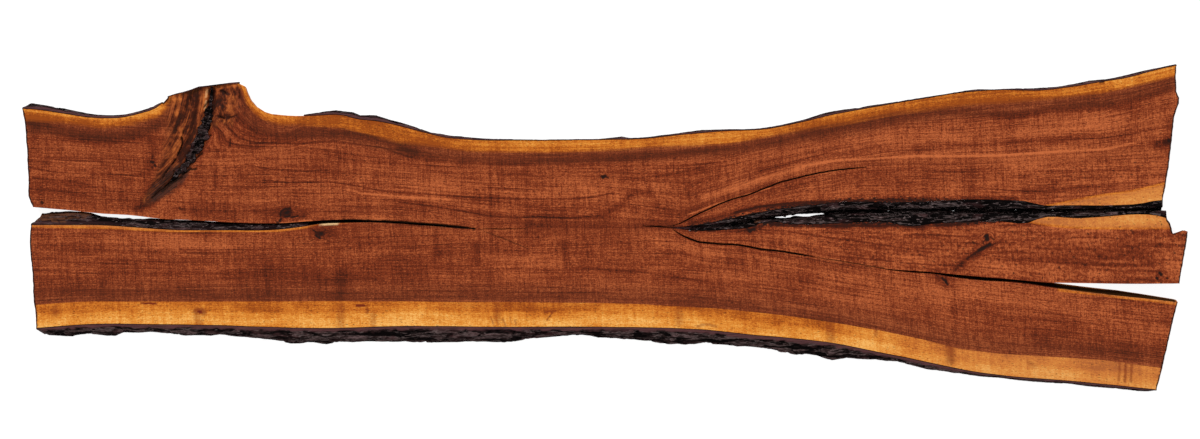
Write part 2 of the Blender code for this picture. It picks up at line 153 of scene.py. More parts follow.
PITH_RING = 5.0
BACK_RING = 265.0

# Rings turn up round the stub's tip side: where that fades in from the left, right and inside
STUB_RING_PITCH = 0.55
TURN_LEFT = (-1060.0, -1010.0)
TURN_RIGHT = (-740.0, -800.0)
TURN_INSIDE = (170.0, 240.0)

# Knots that the rings part round, with the reach of the bend
KNOTS_SEEN = (
    (((285, 214), (286, 214)), 26.0), (((320, 233), (321, 233)), 17.0),
    (((947, 282), (948, 283)), 14.0), (((986, 240), (988, 238)), 15.0),
)
KNOT_BEND = 0.75

# The outer ends of the arms have dark rims; towards the forked end the wood is paler
END_ZONE = 1330.0
FORK_END = (500.0, 1100.0)

# Inner limits of the sapwood; round the stub it follows the stub's own outline
BACK_SAP_LINE = (
    (-1456, 268), (-1361, 262), (-1261, 248), (-1136, 258), (-1011, 272), (-856, 262), (-761, 255),
    (-654, 248), (-511, 212), (-336, 192), (-111, 188), (114, 200), (314, 210), (489, 242), (614, 262),
    (739, 288), (914, 306), (1114, 322), (1239, 333), (1364, 364), (1434, 378),
)
NO_SAP = -50.0
UPPER_WEDGE_START = (1080.0, 45.0)
UPPER_WEDGE_LINE = ((1089, 52), (1164, 68), (1239, 81), (1314, 92), (1401, 111))
MIDDLE_WEDGE_START = (1030.0, 36.0)
MIDDLE_WEDGE_FRONT = -80.0
MIDDLE_WEDGE_LINE = ((1030, 15), (1100, 4), (1160, -2), (1239, -5), (1464, -5))
SPLIT_LIP_END = -640.0
SPLIT_LIP_WIDTH = ((-1434, 8), (-1100, 7), (-740, 5), (-690, -3))
GAP_START = (1130.0, -124.0)
GAP_LIP_WIDTH = 20.0
GAP_LINE = ((950, -136), (1139, -160), (1364, -186), (1434, -196))
BACK_GOLD_WIDTH = (
    (-1456, 8), (-1250, 8), (-1124, 14), (-1040, 6), (-900, 8), (-850, 10), (-760, 8), (-600, 6),
    (-500, 12), (-350, 24), (0, 27), (300, 26), (480, 13), (700, 9), (900, 10), (1000, 16),
    (1150, 22), (1300, 22), (1434, 24),
)
BACK_GOLD_STRENGTH = (
    (-1456, 0.42), (-1124, 0.42), (-1080, 0.3), (-900, 0.4), (-850, 0.36), (-740, 0.02), (-600, -0.06),
    (-450, 0.18), (-300, 0.34), (300, 0.34), (500, 0.20), (900, 0.30), (1434, 0.30),
)
STUB_SPAN = (-1250, -760)
STUB_BLEND = 50.0
STUB_OUTLINE = (
    (-1261, 272), (-1211, 277), (-1161, 288), (-1124, 296), (-1104, 311), (-1096, 322), (-1041, 339),
    (-994, 351), (-921, 359), (-901, 356), (-894, 340), (-884, 318), (-866, 298), (-844, 286),
    (-804, 280), (-736, 278),
)
STUB_RIGHT_SIDE = ((-905, 380), *STUB_OUTLINE[10:15], (-700, 278))
STUB_SAP_WIDTH = (
    (-1261, 24), (-1161, 24), (-1124, 22), (-1090, 16), (-1050, 7), (-910, 7), (-894, 14), (-840, 22),
    (-760, 30),
)

# How far the black flecks on the fork's lips reach, and where they fade in and out
FORK_LIP_WIDTH = ((150, 10), (300, 18), (560, 26), (800, 26), (1000, 14))
FORK_LIP_START = (150.0, 230.0)
FORK_LIP_END = (1060.0, 960.0)

# The ravine in the branch stub, with the widths along it of the torn wood and of the dark bark
RAVINE_PATH = (
    (-982, 362), (-984, 318), (-989, 288), (-996, 262), (-1006, 230), (-1019, 200), (-1034, 175),
    (-1051, 150), (-1071, 130), (-1091, 110), (-1116, 88), (-1141, 68),
)
RAVINE_STEP = 6.0
TORN_WIDTH = ((0, 112), (60, 108), (150, 92), (227, 66), (284, 42), (330, 20), (360, 10))
TORN_RIGHT = 75.0
TORN_NEAR = (22.0, 10.0)
TORN_TIP_END = (112.0, 80.0)
TORN_END = (372.0, 330.0)
RAVINE_REACH = 130.0
RAVINE_END = 385.0
RAVINE_BARK_WIDTH = (
    (8, 2.0), (20, 3.0), (55, 4.0), (75, 9.0), (90, 12.0), (118, 12.5), (135, 14.0), (165, 13.5),
    (190, 11.0), (215, 9.0), (240, 8.0), (262, 5.0), (275, 1.0),
)
RAVINE_BARK_RISE = ((8, 3.0), (60, 4.0), (100, 7.0), (180, 7.0), (240, 4.0), (275, 0.6))
SPLINTER_START = (205.0, 235.0)
SPLINTER_END = (358.0, 335.0)
SPLINTER_WIDTH = ((200, 10), (235, 22), (262, 28), (290, 26), (320, 20), (352, 12))

# Cracks: points, half width, depth, darkness of the painted shade in them
CRACKS = (
    (((172, 4), (191, 10), (239, 35), (289, 58), (314, 68), (364, 82), (389, 92), (439, 112), (489, 125),
      (539, 136), (589, 144), (651, 150)), 1.2, 5.0, 1.0),
    (((174, -8), (189, -18), (214, -30), (239, -38), (276, -41), (339, -45), (389, -55), (439, -60),
      (489, -68), (526, -75)), 1.5, 8.0, 1.0),
    (((530, -76), (584, -84), (646, -94), (700, -103)), 0.9, 1.5, 0.75),
    (((-311, -6), (-301, -4), (-261, -5), (-200, -4)), 0.9, 3.0, 0.55),
    (((96, 3), (116, 2), (141, 1), (176, -2)), 1.3, 4.0, 0.95),
    (((-306, -9), (-261, -25), (-224, -40), (-190, -54)), 1.2, 0.3, 0.5),
    (((-670, 15), (-644, 17), (-596, 16), (-554, 14), (-499, 11), (-456, 7.5), (-414, 4.5), (-372, 0.5),
      (-322, -4)), 2.6, 3.0, 1.0),
)
CRACK_SWING = 0.7
CRACK_TAPER = 60.0
CRACK_ROWS = (0.0, 1.0, -1.0, 1.9, -1.9)
CRACK_FADE = 1.95
CRACK_BOTTOM = 30.0

# Fine grain lines, darker (+) or lighter (-) than the wood: points, half width, strength
LINE_CONTRAST = 1.6
LINES_SEEN = (
    (((263, 180), (293, 183), (326, 181), (348, 184), (382, 191), (415, 193.3), (440, 195), (467, 196.7),
      (524, 199), (567, 199), (596, 196.7), (611, 193.3)), 3.5, 0.8),
    (((246, 164.4), (271, 169), (300, 171), (330, 170)), 3.0, 0.5),
    (((400, 202), (429, 205.6), (456, 210), (489, 215.6), (516, 218), (533, 216.7), (567, 218),
      (589, 216.7)), 3.5, 0.9),
    (((350, 190), (362, 193.3), (400, 196.8), (418, 198), (450, 199.5)), 4.0, -0.7),
    (((28, 166.7), (48, 171), (71, 173.3), (104, 174.4), (140, 175)), 3.5, 0.6),
    (((35, 178), (60, 181), (88, 184)), 4.5, 0.6),
    (((30, 158), (60, 161), (100, 164)), 4.0, -0.5),
    (((429, 165.6), (458, 166.7)), 2.5, 0.5),
    (((803, 166), (834, 160.5), (879, 158), (923, 156), (990, 155.5), (1034, 153.3), (1079, 150),
      (1106, 149), (1134, 143)), 5.0, -0.9),
    (((790, 232), (834, 238), (879, 244), (934, 253)), 3.5, 0.6),
    (((250, 143), (300, 143.5), (330, 141), (380, 147), (410, 157)), 4.0, 0.7),
    (((400, 290.5), (500, 292), (600, 292.5), (680, 295), (740, 302)), 3.5, 0.4),
    (((584, 268), (640, 272), (690, 279), (740, 288)), 4.0, 0.4),
    (((276, 223.3), (300, 222), (313, 221)), 2.0, -1.6),
    (((690, 214), (713, 205), (740, 196), (770, 188)), 2.5, -1.0),
    (((760, 171), (790, 163), (830, 152)), 4.0, 0.5),
    (((620, 180), (660, 176), (700, 168)), 4.0, 0.35),
)

# Soft strokes in the heartwood, darker (+) or lighter (-), mostly the wood's own tone and some painted
# shade beside the ravine: points, half width, strength
TONES_AND_SHADE_SEEN = (
    (((529, 226), (560, 225), (622, 226), (667, 225.6)), 13.0, 0.7),
    (((589, 217), (607, 213), (618, 206.7), (627, 198), (636, 192), (651, 193)), 8.0, 0.9),
    (((400, 147), (422, 156), (456, 160), (489, 161), (533, 161), (578, 160.5), (622, 157.5), (667, 155),
      (700, 151.5), (733, 149), (760, 144.5), (789, 139), (812, 132.5), (834, 128), (857, 123.5),
      (886, 119), (901, 116), (923, 113.5), (946, 112.3), (968, 112.3), (990, 113.5), (1012, 114.4),
      (1030, 113.5), (1052, 107.5), (1079, 106), (1101, 106), (1123, 104.6), (1146, 97), (1168, 89)),
     11.0, 1.1),
    (((27, 121), (37, 125), (59, 131), (82, 136), (104, 138), (119, 137), (139, 133), (157, 127)),
     15.0, 1.25),
    (((240, 120), (251, 129), (264, 135), (282, 137), (304, 136.5), (326, 133), (348, 134), (371, 138),
      (393, 144.5), (415, 152)), 16.0, 0.95),
    (((704, 196.7), (747, 184.4), (800, 168)), 9.0, -1.1),
    (((800, 168), (850, 158), (950, 157)), 12.0, -0.4),
    (((914, 149), (946, 145.6), (979, 145.6), (1012, 142), (1046, 139), (1090, 138), (1123, 138)),
     7.0, 0.65),
    (((1034, 128), (1056, 126), (1079, 124), (1120, 118)), 22.0, -0.6),
    (((1023, 192), (1080, 188), (1145, 181)), 10.0, 0.5),
    (((680, 214), (700, 207), (722, 199.5), (744, 193.5), (775, 182)), 5.0, 0.6),
    (((972, 158), (972, 198)), 13.0, 0.35),
    (((1165, 100), (1170, 130), (1170, 180)), 14.0, 0.45),
    (((1012, 234), (1060, 235), (1145, 233)), 9.0, 0.6),
    (((957, 290), (952, 305), (957, 320), (953, 338)), 8.0, 0.5),
    (((1040, 340), (1079, 345), (1157, 352)), 20.0, 0.7),
    (((150, 153), (149, 175), (150, 202)), 14.0, 0.6),
    (((135, 209), (150, 203)), 8.0, 0.8),
    (((90, 190), (135, 188)), 32.0, 0.3),
    (((35, 183), (88, 184)), 12.0, 0.4),
    (((150, 245), (190, 246), (230, 246)), 12.0, -0.5),
    (((40, 270), (200, 272), (340, 282)), 45.0, 0.25),
    (((268, 262), (268, 292)), 8.0, 0.5),
    (((342, 271), (341, 298)), 12.0, 0.6),
    (((103, 264), (103, 284)), 10.0, 0.35),
    (((206, 232), (206, 262)), 4.0, 0.5),
    (((436, 231), (437, 245), (441, 257)), 6.0, 0.75),
    (((476, 244), (477, 262)), 7.0, 0.7),
    (((564, 243), (567, 262)), 10.0, 0.8),
    (((491, 165), (491, 290)), 4.0, 0.5),
    (((526, 165), (527, 235)), 4.0, 0.5),
    (((542, 170), (542, 230)), 4.0, 0.35),
    (((584, 262), (640, 268), (678, 275)), 18.0, 0.35),
    (((644, 236), (660, 240), (678, 242), (720, 258)), 16.0, -0.45),
    (((420, 185), (480, 188), (560, 190), (610, 186)), 42.0, -0.3),
    (((850, 140), (950, 132)), 30.0, -0.3),
    (((800, 240), (860, 250), (930, 258)), 14.0, -0.3),
    (((830, 280), (880, 295), (950, 300)), 40.0, -0.3),
    (((199, 213), (200, 214)), 24.0, 0.5),
    (((266, 219), (284, 214), (306, 214)), 14.0, 0.6),
    (((304, 232), (334, 232)), 14.0, 0.35),
    (((319, 233.5), (321, 233.5)), 9.0, 0.9),
    (((285, 213.5), (289, 212.5)), 13.0, 0.9),
    (((957, 262), (968, 250), (990, 238)), 26.0, 0.35),
    (((989, 246), (976, 254), (962, 263)), 8.0, 1.1),
    (((984, 241), (974, 248)), 4.0, 0.6),
    (((962, 262), (957, 268), (951, 275)), 5.0, 0.9),
    (((690, 223.5), (710, 219), (730, 214.5), (745, 209.5), (765, 206.5), (820, 203)), 7.0, 1.3),
    (((672, 226.5), (690, 229.5), (712, 230), (738, 231)), 5.0, 1.1),
    (((738, 229), (750, 231), (762, 226)), 7.0, 1.4),
    (((880, 199), (930, 198), (1020, 200)), 4.0, 0.9),
    (((770, 224), (800, 224), (850, 224.5), (900, 224), (960, 223), (1000, 221)), 5.0, 1.1),
    (((150, 138), (156, 150), (152, 165)), 9.0, 0.6),
    (((218, 150), (218, 157)), 4.5, 0.8),
    (((216, 170), (215.5, 187)), 5.0, 0.8),
    (((222, 172), (222, 182)), 4.0, 0.5),
    (((230.5, 139), (230, 147)), 3.5, 1.0),
    (((818, 225), (842, 227), (850, 226.5)), 6.0, 1.4),
    (((862, 225), (884, 227.5)), 6.0, 1.2),
    (((895, 224.5), (925, 227)), 6.0, 1.1),
    (((938, 226), (975, 222.5)), 6.0, 1.1),
    (((1000, 219), (1032, 221)), 5.0, 1.2),
    (((962, 198.5), (985, 197.5), (1015, 199)), 5.0, 1.2),
    # painted shade beside the ravine
    (((210, 96), (214, 106), (212, 116)), 14.0, 1.0),
    (((210, 118), (206, 132), (200, 146), (190, 160)), 16.0, 1.1),
    (((214, 122), (226, 121), (236, 116)), 13.0, 0.9),
    (((222, 136), (240, 140)), 14.0, 0.3),
    (((140, 205), (160, 190), (180, 176)), 14.0, 0.9),
    (((900, 250), (850, 248)), 26.0, 0.3),
    (((250, 268), (340, 276), (420, 276)), 34.0, 0.4),
    (((1128, 288), (1127, 350)), 14.0, 0.5),
    # painted shade below the stub's tip
    (((238, 92), (246, 112), (262, 125)), 16.0, 0.35),
    (((1000, 246), (1080, 252), (1150, 260)), 34.0, 0.75),
    (((1157, 275), (1166, 276)), 16.0, 0.6),
    (((1157, 145), (1164, 142), (1171, 140.5)), 12.0, 1.4),
    (((938, 275), (950, 286)), 15.0, 0.9),
    (((900, 318), (1100, 328)), 40.0, 0.22),
    (((60, 237), (200, 240)), 14.0, -0.35),
    (((60, 293), (300, 296), (560, 297), (760, 306)), 12.0, 0.35),
)

# Marks: points, half width, darkness
MARKS_SEEN = (
    (((284, 214), (288, 212.5)), 9.0, 0.45),
    (((280.5, 216), (281, 211.5), (285, 208.8), (290, 208.5)), 2.0, 0.95),
    (((285, 217), (289.5, 216)), 2.2, 0.9),
    (((286, 213), (288.5, 212)), 3.0, 0.95),
    (((291, 217.4), (298, 216)), 2.0, 0.9),
    (((300, 217.2), (305.5, 216)), 1.6, 0.5),
    (((281, 219), (278.5, 222.5)), 2.8, 0.9),
    (((318.6, 233.6), (321.6, 234.2)), 7.0, 0.55),
    (((316, 235.2), (317.5, 237), (320.5, 237.8)), 2.2, 0.9),
    (((320.4, 233), (321.8, 233.6)), 3.0, 0.95),
    (((316, 231.8), (313, 229.8)), 2.0, 0.7),
    (((324, 231.5), (326, 229.6)), 1.8, 0.45),
    (((311, 240.5), (316, 238.8)), 1.6, 0.3),
    (((329, 241), (324.5, 238.8)), 1.6, 0.3),
    (((602.5, 176.5), (605, 176)), 4.2, 0.9),
    (((606, 177), (609, 178)), 2.0, 0.5),
    (((942.8, 278.3), (945.5, 280.5), (947.8, 284.6)), 2.6, 0.9),
    (((986.4, 235.6), (987.4, 239)), 5.2, 1.0),
    (((990, 236.5), (994, 239.5)), 2.0, 0.45),
    (((990.5, 244), (984, 247.5), (979, 250.5)), 4.2, 0.9),
    (((980, 250), (972, 255), (967, 259)), 2.8, 0.6),
    (((746, 227.5), (750, 231), (754, 229)), 3.6, 0.9),
    (((1165, 212.5), (1168, 218.5), (1171, 226), (1174, 233)), 2.6, 1.0),
    (((973, 242), (974, 243)), 2.6, 0.45),
    (((1168.6, 139.8), (1169.2, 140.6)), 3.2, 1.0),
    (((1164.6, 142), (1168, 142.6)), 5.0, 0.3),
    (((1158.6, 141.8), (1160, 142.2)), 2.4, 0.4),
    (((1160, 273), (1161.5, 274)), 4.4, 0.75),
    (((1156.8, 278.2), (1157.4, 278.5)), 3.0, 0.9),
    (((1167.4, 278.2), (1167.8, 278.6)), 2.2, 0.7),
    (((735, 212.5), (760, 206.5), (800, 202.5), (850, 200.5), (900, 200), (960, 201)), 3.0, 0.55),
    (((770, 225), (810, 226), (850, 226), (900, 225.5), (960, 225)), 3.0, 0.5),
    (((690, 229.5), (715, 230)), 2.4, 0.55),
    (((162.5, 103), (165.5, 100.5), (168.3, 97)), 2.6, 1.0),
    (((151, 161.5), (153, 162.5)), 2.8, 0.85),
    (((155, 165), (155.8, 166)), 2.4, 0.8),
    (((151.5, 166.8), (152.3, 167.4)), 1.8, 0.6),
    (((230.5, 139), (230, 146)), 1.6, 0.6),
    (((42, 202), (42.5, 202.5)), 3.4, 0.7),
    (((180, 208), (182, 209)), 3.0, 0.5),
    (((1100, 82.5), (1104, 82)), 2.6, 0.6),
)

# Reddish stains in the sapwood: points, half width, strength
STAINS_SEEN = (
    (((196, 311), (203, 311.5)), 8.5, 0.7),
    (((198, 311.5), (201, 312)), 5.0, 1.0),
    (((197, 315), (199, 323)), 10.0, 0.35),
    (((141, 303), (156, 303.7)), 2.4, 1.0),
    (((357, 305.5), (364, 305.5)), 3.2, 1.0),
    (((361, 301.3), (370, 300)), 2.2, 0.9),
    (((367, 308), (367, 312)), 4.0, 0.5),
    (((55, 309), (56, 313)), 10.0, 0.4),
    (((341, 305), (341, 325)), 9.0, 0.35),
    (((373, 315), (373, 325)), 7.0, 0.35),
    (((498, 305), (497, 318)), 9.0, 0.4),
    (((545, 312), (550, 311), (556, 311)), 2.4, 0.7),
    (((552, 313), (547, 320)), 2.0, 0.75),
    (((679, 310), (680, 322)), 10.0, 0.35),
    (((697, 326.5), (703, 324.5), (709, 324.5), (716, 326.5)), 3.0, 0.5),
    (((830, 327), (831, 339)), 10.0, 0.4),
    (((876, 323), (876, 334)), 5.0, 0.4),
    (((950, 348), (951, 360)), 11.0, 0.6),
    (((1120, 361), (1119, 380)), 3.5, 0.5),
    (((1126, 361), (1125, 382)), 3.5, 0.6),
    (((1132, 362), (1131, 381)), 3.5, 0.55),
    (((491, 318), (495, 327)), 1.7, 0.6),
    (((497, 320), (500, 328)), 1.6, 0.5),
    (((503, 318), (506, 327)), 1.7, 0.6),
    (((510, 317), (512, 326)), 1.6, 0.5),
    (((515, 320), (517, 328)), 1.6, 0.55),
    (((1028, 362), (1034, 366)), 6.0, 0.35),
    (((440, 305), (600, 305)), 6.0, 0.15),
)

# Streaks of the torn wood round the ravine, dark (+) or gold (-): points, half width, strength
TORN_SEEN = (
    (((198, 88), (197, 105), (193, 125), (188, 142), (180, 160)), 7.0, 1.0),
    (((189, 93), (187, 108), (184, 122)), 4.5, 0.9),
    (((194, 89), (192, 104)), 6.0, 0.7),
    (((190, 112), (187, 130)), 4.0, -0.3),
    (((174, 100), (180, 99)), 5.0, -0.9),
    (((176, 99), (173, 106), (176, 114)), 7.0, -0.9),
    (((170, 100), (168.5, 107)), 4.5, 0.9),
    (((181, 115), (178, 124), (175, 131)), 4.5, 1.0),
    (((166, 107), (163, 116)), 8.0, -0.7),
    (((184, 123), (181, 136), (176, 148), (169, 160)), 6.0, -0.6),
    (((186, 145), (180, 157), (173, 168)), 4.0, -0.5),
    (((177, 117), (174, 128), (168, 138)), 5.0, 0.6),
    (((200, 128), (194, 142), (186, 156)), 5.0, 0.5),
    (((171, 130), (166, 145), (159, 160)), 8.0, -0.4),
    (((206, 89), (205, 98), (204, 109)), 4.6, -1.5),
    (((201, 92), (200.5, 112), (197, 126)), 4.0, -0.6),
    (((221, 91), (229, 94)), 4.0, 0.9),
    (((240, 88), (241, 100)), 4.5, 1.1),
    (((218, 117), (226, 118), (236, 116)), 3.5, 0.6),
    (((214, 92), (213.5, 108)), 4.0, 1.0),
    (((232, 96), (236, 103), (230, 111)), 7.0, -0.6),
    (((216, 88), (222, 87), (236, 86)), 5.0, -0.6),
    (((220, 101), (224, 107)), 6.0, 0.4),
)
# Cracks in the torn wood, sunk and painted black as shade: points, half width, strength
TORN_CRACKS_SEEN = (
    (((182.5, 140), (181.5, 147), (177.5, 155)), 1.5, 0.9),
    (((175.5, 159), (172, 164.5)), 1.5, 0.9),
    (((169, 168), (162, 179)), 1.6, 0.6),
    (((181.5, 137.5), (182, 140)), 2.4, 1.0),
    (((183.5, 130), (183, 133)), 2.0, 0.8),
    (((178, 177), (172, 181), (165, 186)), 2.0, 0.9),
    (((174, 171), (176, 177)), 1.8, 0.8),
    (((209, 100), (206, 104), (204, 107)), 2.0, 0.8),
    (((207, 110), (204, 113)), 2.0, 0.8),
    (((205, 139), (211, 135)), 2.0, 0.9),
    (((196, 158), (202, 153.5)), 2.2, 0.9),
    (((183, 174), (190, 169), (196, 169)), 2.6, 0.9),
    (((162, 191), (170, 184), (182, 177)), 2.2, 0.8),
    (((152, 198), (160, 190), (168, 186)), 1.8, 0.6),
    (((221, 90), (226, 93)), 1.8, 0.6),
    (((240, 90), (240, 98)), 2.0, 0.7),
    (((218, 116), (224, 118)), 1.6, 0.6),
    (((230, 117.5), (237, 115)), 1.6, 0.5),
)

# Pale splinters of fresh wood, and first a painted patch of light showing through the split: points,
# half width, strength
PALE_AND_LIT_SEEN = (
    # painted light: a light patch where the split lets light through
    (((321, 223), (337, 223)), 3.4, 1.0),
    (((207, 90), (205.6, 97)), 2.4, 0.35),
    (((206, 101), (204.5, 109)), 2.4, 0.3),
)

# Brown torn fibre lying on the bark at the left end of the split
FIBRE_SEEN = (
    (((33, 218.5), (42, 215), (52, 214), (66, 213.5), (80, 212.5), (90, 213)), 6.0, 1.0),
    (((52, 221), (58, 221.3)), 2.0, 1.0),
    (((61, 221.4), (66, 221.6)), 2.0, 1.0),
    (((38, 219.5), (60, 218.5), (85, 217.5)), 2.6, 1.0),
    (((756, 221.3), (759, 220.3)), 3.0, 1.0),
)

# What shows through the bark in the fork: places along it, each with half the opening's width
FORK_OPENING_SEEN = (
    (774, 217.2, 0.0), (779, 217.0, 1.4), (786, 216.8, 2.4), (791, 216.0, 2.8), (794, 215.6, 0.4),
    (797, 214.8, 2.0), (804, 215.2, 3.2), (810, 215.0, 3.2), (815, 214.2, 2.2), (820, 213.8, 1.4),
    (823, 213.6, 1.6), (825, 213.6, 0.0),
)
FORK_FILLING_SPAN = (163.0, 590.0)
FORK_FILLING_TOP = ((176, 53), (230, 50), (300, 42), (380, 34), (590, 26))
FORK_FILLING_BOTTOM = 6.0
FORK_FILLING_LAP = 1.5
FORK_OPENING_BLEND = 60.0
FORK_OPENING_SLOPE = 9.0

# Relief: the height of a noise, its length in each direction and its layer
TORN_RIDGES = ((2.6, (60.0, 8.0), 1.7), (1.5, (22.0, 3.6), 4.1))
TIP_LUMPS = ((2.2, (11.0, 9.0), 2.9),)
END_SCORES = ((0.8, (60.0, 7.0, 60.0), 2.2),)
WALL_BUMPS = ((0.5, (16.0, 16.0, 12.0), 5.5),)
RIM_BUMPS = ((1.1, (14.0, 9.0, 40.0), 3.1),)
RING_WAVES = ((2.0, (170.0, 50.0), 9.2),)
BARK_PLATES = ((1.0, (70.0, 14.0, 14.0), 3.3), (0.4, (20.0, 8.0, 8.0), 8.1))
BARK_GRIT = ((0.5, (5.0, 4.0, 4.0), 6.4),)
RAVINE_LUMPS = ((1.3, (12.0, 7.0), 3.0), (0.8, (5.0, 4.0), 7.0))
CRUMB_LUMPS = ((1.0, (10.0, 6.0), 2.0), (0.5, (4.0, 3.0), 6.0))
# painted highlight and shade on the bark crumbs, as on lit ridges and shaded hollows
CRUMB_LIGHTING = ((0.5, (9.0, 6.0, 6.0), 1.1),)
TORN_STREAK_DEPTH = 1.6
TORN_SINK = 1.4
TORN_CRACK_DEPTH = 4.0
MARK_DEPTH = 0.8
WALL_SINK = 0.6
RIM_SINK = 0.9
DEEPEST = 14.0

# Bark: cuts that refine the CAD strips, and how deep their sides and tops are cut at least,
# in the furrows and by grit; near the wood the cuts fade out
BARK_CUTS = {
    "bark_front_edge": 5, "bark_back_left": 5, "bark_stub_tip": 4, "bark_back_right": 4,
    "bark_left_split": 5, "bark_fork_back": 5, "bark_fork_front": 5,
}
BARK_SIDE_CUT = (0.2, 3.5, 1.0)
BARK_TOP_CUT = (0.4, 4.5, 1.2)
BARK_FURROW = 0.28
BARK_NEAR_WOOD = (1.2, 4.0)
BARK_NEAR_TOP = (7.0, 15.0)
BARK_SHARE_CUT = 0.3
BARK_SEAM = 0.06
BARK_LAYER = 19.0

# How much painted shade darkens the bark, along X: 0 on an open edge, 1 deep in an opening
UNSHADED_BARK = ((0, 0.0),)
HALF_SHADED_BARK = ((0, 0.6),)
SHADED_BARK = ((0, 1.0),)
BARK_OPENING_SHADE = {
    "bark_left_split": ((-1400, 0.5), (-1180, 0.9)), "bark_fork_back": SHADED_BARK,
    "bark_fork_front": SHADED_BARK,
}

# Colours as linear red, green, blue
HEART_DARK = (0.040, 0.009, 0.005)
HEART_MID = (0.190, 0.0310, 0.0098)
HEART_LIGHT = (0.54, 0.136, 0.042)
BAND_DARK = (0.100, 0.026, 0.011)
SAP_DARK = (0.30, 0.062, 0.008)
SAP_DEEP = (0.55, 0.145, 0.015)
SAP_MID = (0.74, 0.27, 0.036)
SAP_PALE = (0.93, 0.49, 0.13)
WEDGE_PALE = (0.56, 0.21, 0.075)
STAIN_RED = (0.17, 0.021, 0.008)
# near-black painted shade, for the cracks and the walls
SHADE_BLACK = (0.004, 0.003, 0.002)
MARK_DARK = (0.020, 0.009, 0.007)
TORN_DARK = (0.022, 0.009, 0.006)
TORN_RED = (0.21, 0.045, 0.013)
TORN_GOLD = (0.55, 0.150, 0.033)
PALE_WOOD_AND_LIGHT = (0.95, 0.62, 0.30)
SPLINTER_GREY = (0.046, 0.021, 0.016)
BARK_BLACK = (0.004, 0.003, 0.003)
BARK_BROWN = (0.030, 0.017, 0.016)
BARK_GREY = (0.14, 0.088, 0.088)
BARK_GLINT = (0.24, 0.175, 0.170)
BARK_INNER = (0.100, 0.040, 0.041)
FIBRE_BROWN = (0.12, 0.046, 0.024)


def from_photo(points):
    """Millimetres on the top face from pixels of the photograph."""
    return (np.array(points, dtype=float) - PHOTO_ORIGIN) * (PHOTO_PIXEL, -PHOTO_PIXEL)


def read_table(table, where):
    keys, values = zip(*table)
    return np.interp(where, keys, values)


def fade(value, start, end):
    """0 at start, 1 at end, smooth between; start may be above end."""
    share = np.clip((value - start) / (np.asarray(end) - start), 0.0, 1.0)
    return share * share * (3.0 - 2.0 * share)


def noise_at(points, length, layer):
    """Smooth noise of about -1 to 1 at many points, with a length for each direction."""
    scaled = np.asarray(points, dtype=float) / np.asarray(length, dtype=float)
    if scaled.shape[1] == 2:
        scaled = np.column_stack([scaled, np.zeros(len(scaled))])
    return np.array([noise.noise(Vector(spot)) for spot in scaled + layer])


def relief(points, layers):
    """The sum of several noises, each with its height, lengths and layer."""
    return sum(height * noise_at(points, lengths, layer) for height, lengths, layer in layers)


def marks_along(line):
    """How far along a line each of its points lies."""
    return np.concatenate([[0.0], np.cumsum(np.hypot(*np.diff(line, axis=0).T))])


def walk(points, spacing):
    """A rounded line through the given points, with a point every spacing or so."""
    points = np.asarray(points, dtype=float)
    marks = marks_along(points)
    count = max(3, int(round(marks[-1] / spacing)) + 1)
    where = np.linspace(0.0, marks[-1], count)
    line = np.stack([np.interp(where, marks, points[:, axis]) for axis in (0, 1)], axis=1)
    for _ in range(2):
        line[1:-1] = 0.25 * line[:-2] + 0.5 * line[1:-1] + 0.25 * line[2:]
    return line


def sideways(line):
    """Unit vectors to the left along a line of points."""
    tangents = np.gradient(line, axis=0)
    tangents /= np.maximum(np.hypot(*tangents.T), 1e-9)[:, None]
    return np.stack([-tangents[:, 1], tangents[:, 0]], axis=1)


def line_distance(spots, line, reach=None):
    """Distance of many points to a line, how far along it they are, and on which side (left +)."""
    line = np.asarray(line, dtype=float)
    best = np.full(len(spots), 1e6)
    along = np.zeros(len(spots))
    side = np.ones(len(spots))
    chosen = np.arange(len(spots))
    if reach is not None:
        low, high = line.min(axis=0) - reach, line.max(axis=0) + reach
        chosen = np.nonzero(((spots >= low) & (spots <= high)).all(axis=1))[0]
    near = spots[chosen]
    start_mark = 0.0
    for start, end in zip(line[:-1], line[1:]):
        step = end - start
        length = np.hypot(*step)
        share = np.clip(((near - start) @ step) / length**2, 0.0, 1.0)
        gap = near - (start + share[:, None] * step)
        distance = np.hypot(*gap.T)
        nearer = distance < best[chosen]
        hit = chosen[nearer]
        best[hit] = distance[nearer]
        along[hit] = start_mark + share[nearer] * length
        turn = step[0] * gap[:, 1] - step[1] * gap[:, 0]
        side[hit] = np.where(turn[nearer] >= 0.0, 1.0, -1.0)
        start_mark += length
    return best, along, side


class Crack:
    """A crack's winding line with its width, which tapers to both ends."""

    def __init__(self, points, half_width, depth, darkness):
        line = walk(points, LINE_STEP)
        swing = CRACK_SWING * noise_at(line, (11.0, 11.0), 0.3)[:, None]
        self.line = line + swing * sideways(line)
        count = np.arange(len(line))
        ends = np.minimum(count, count[::-1]) * LINE_STEP
        self.width = half_width * np.clip(0.35 + ends / CRACK_TAPER, 0.0, 1.0)
        self.marks = marks_along(self.line)
        self.depth = depth
        self.darkness = darkness

    def rows(self):
        """Lines of mesh points along the crack, its edges and its rims."""
        side = sideways(self.line)
        for reach in CRACK_ROWS:
            yield self.line + side * (self.width * reach)[:, None]

    def share(self, spots):
        """1 in the middle of the crack, 0 outside it."""
        distance, along, _ = line_distance(spots, self.line, 10.0)
        width = np.interp(along, self.marks, self.width)
        return np.clip(CRACK_FADE - distance / width, 0.0, 1.0)


cracks = [Crack(*crack) for crack in CRACKS]
lines = [(walk(from_photo(points), LINE_STEP), half, strength) for points, half, strength in LINES_SEEN]


def soft_strokes(spots, strokes):
    """The sum of soft strokes, each falling off over its half width."""
    result = np.zeros(len(spots))
    for points, half_width, strength in strokes:
        line = from_photo(points)
        distance = line_distance(spots, line, 3.0 * half_width)[0]
        result += strength * np.exp(-((distance / half_width) ** 2))
    return result


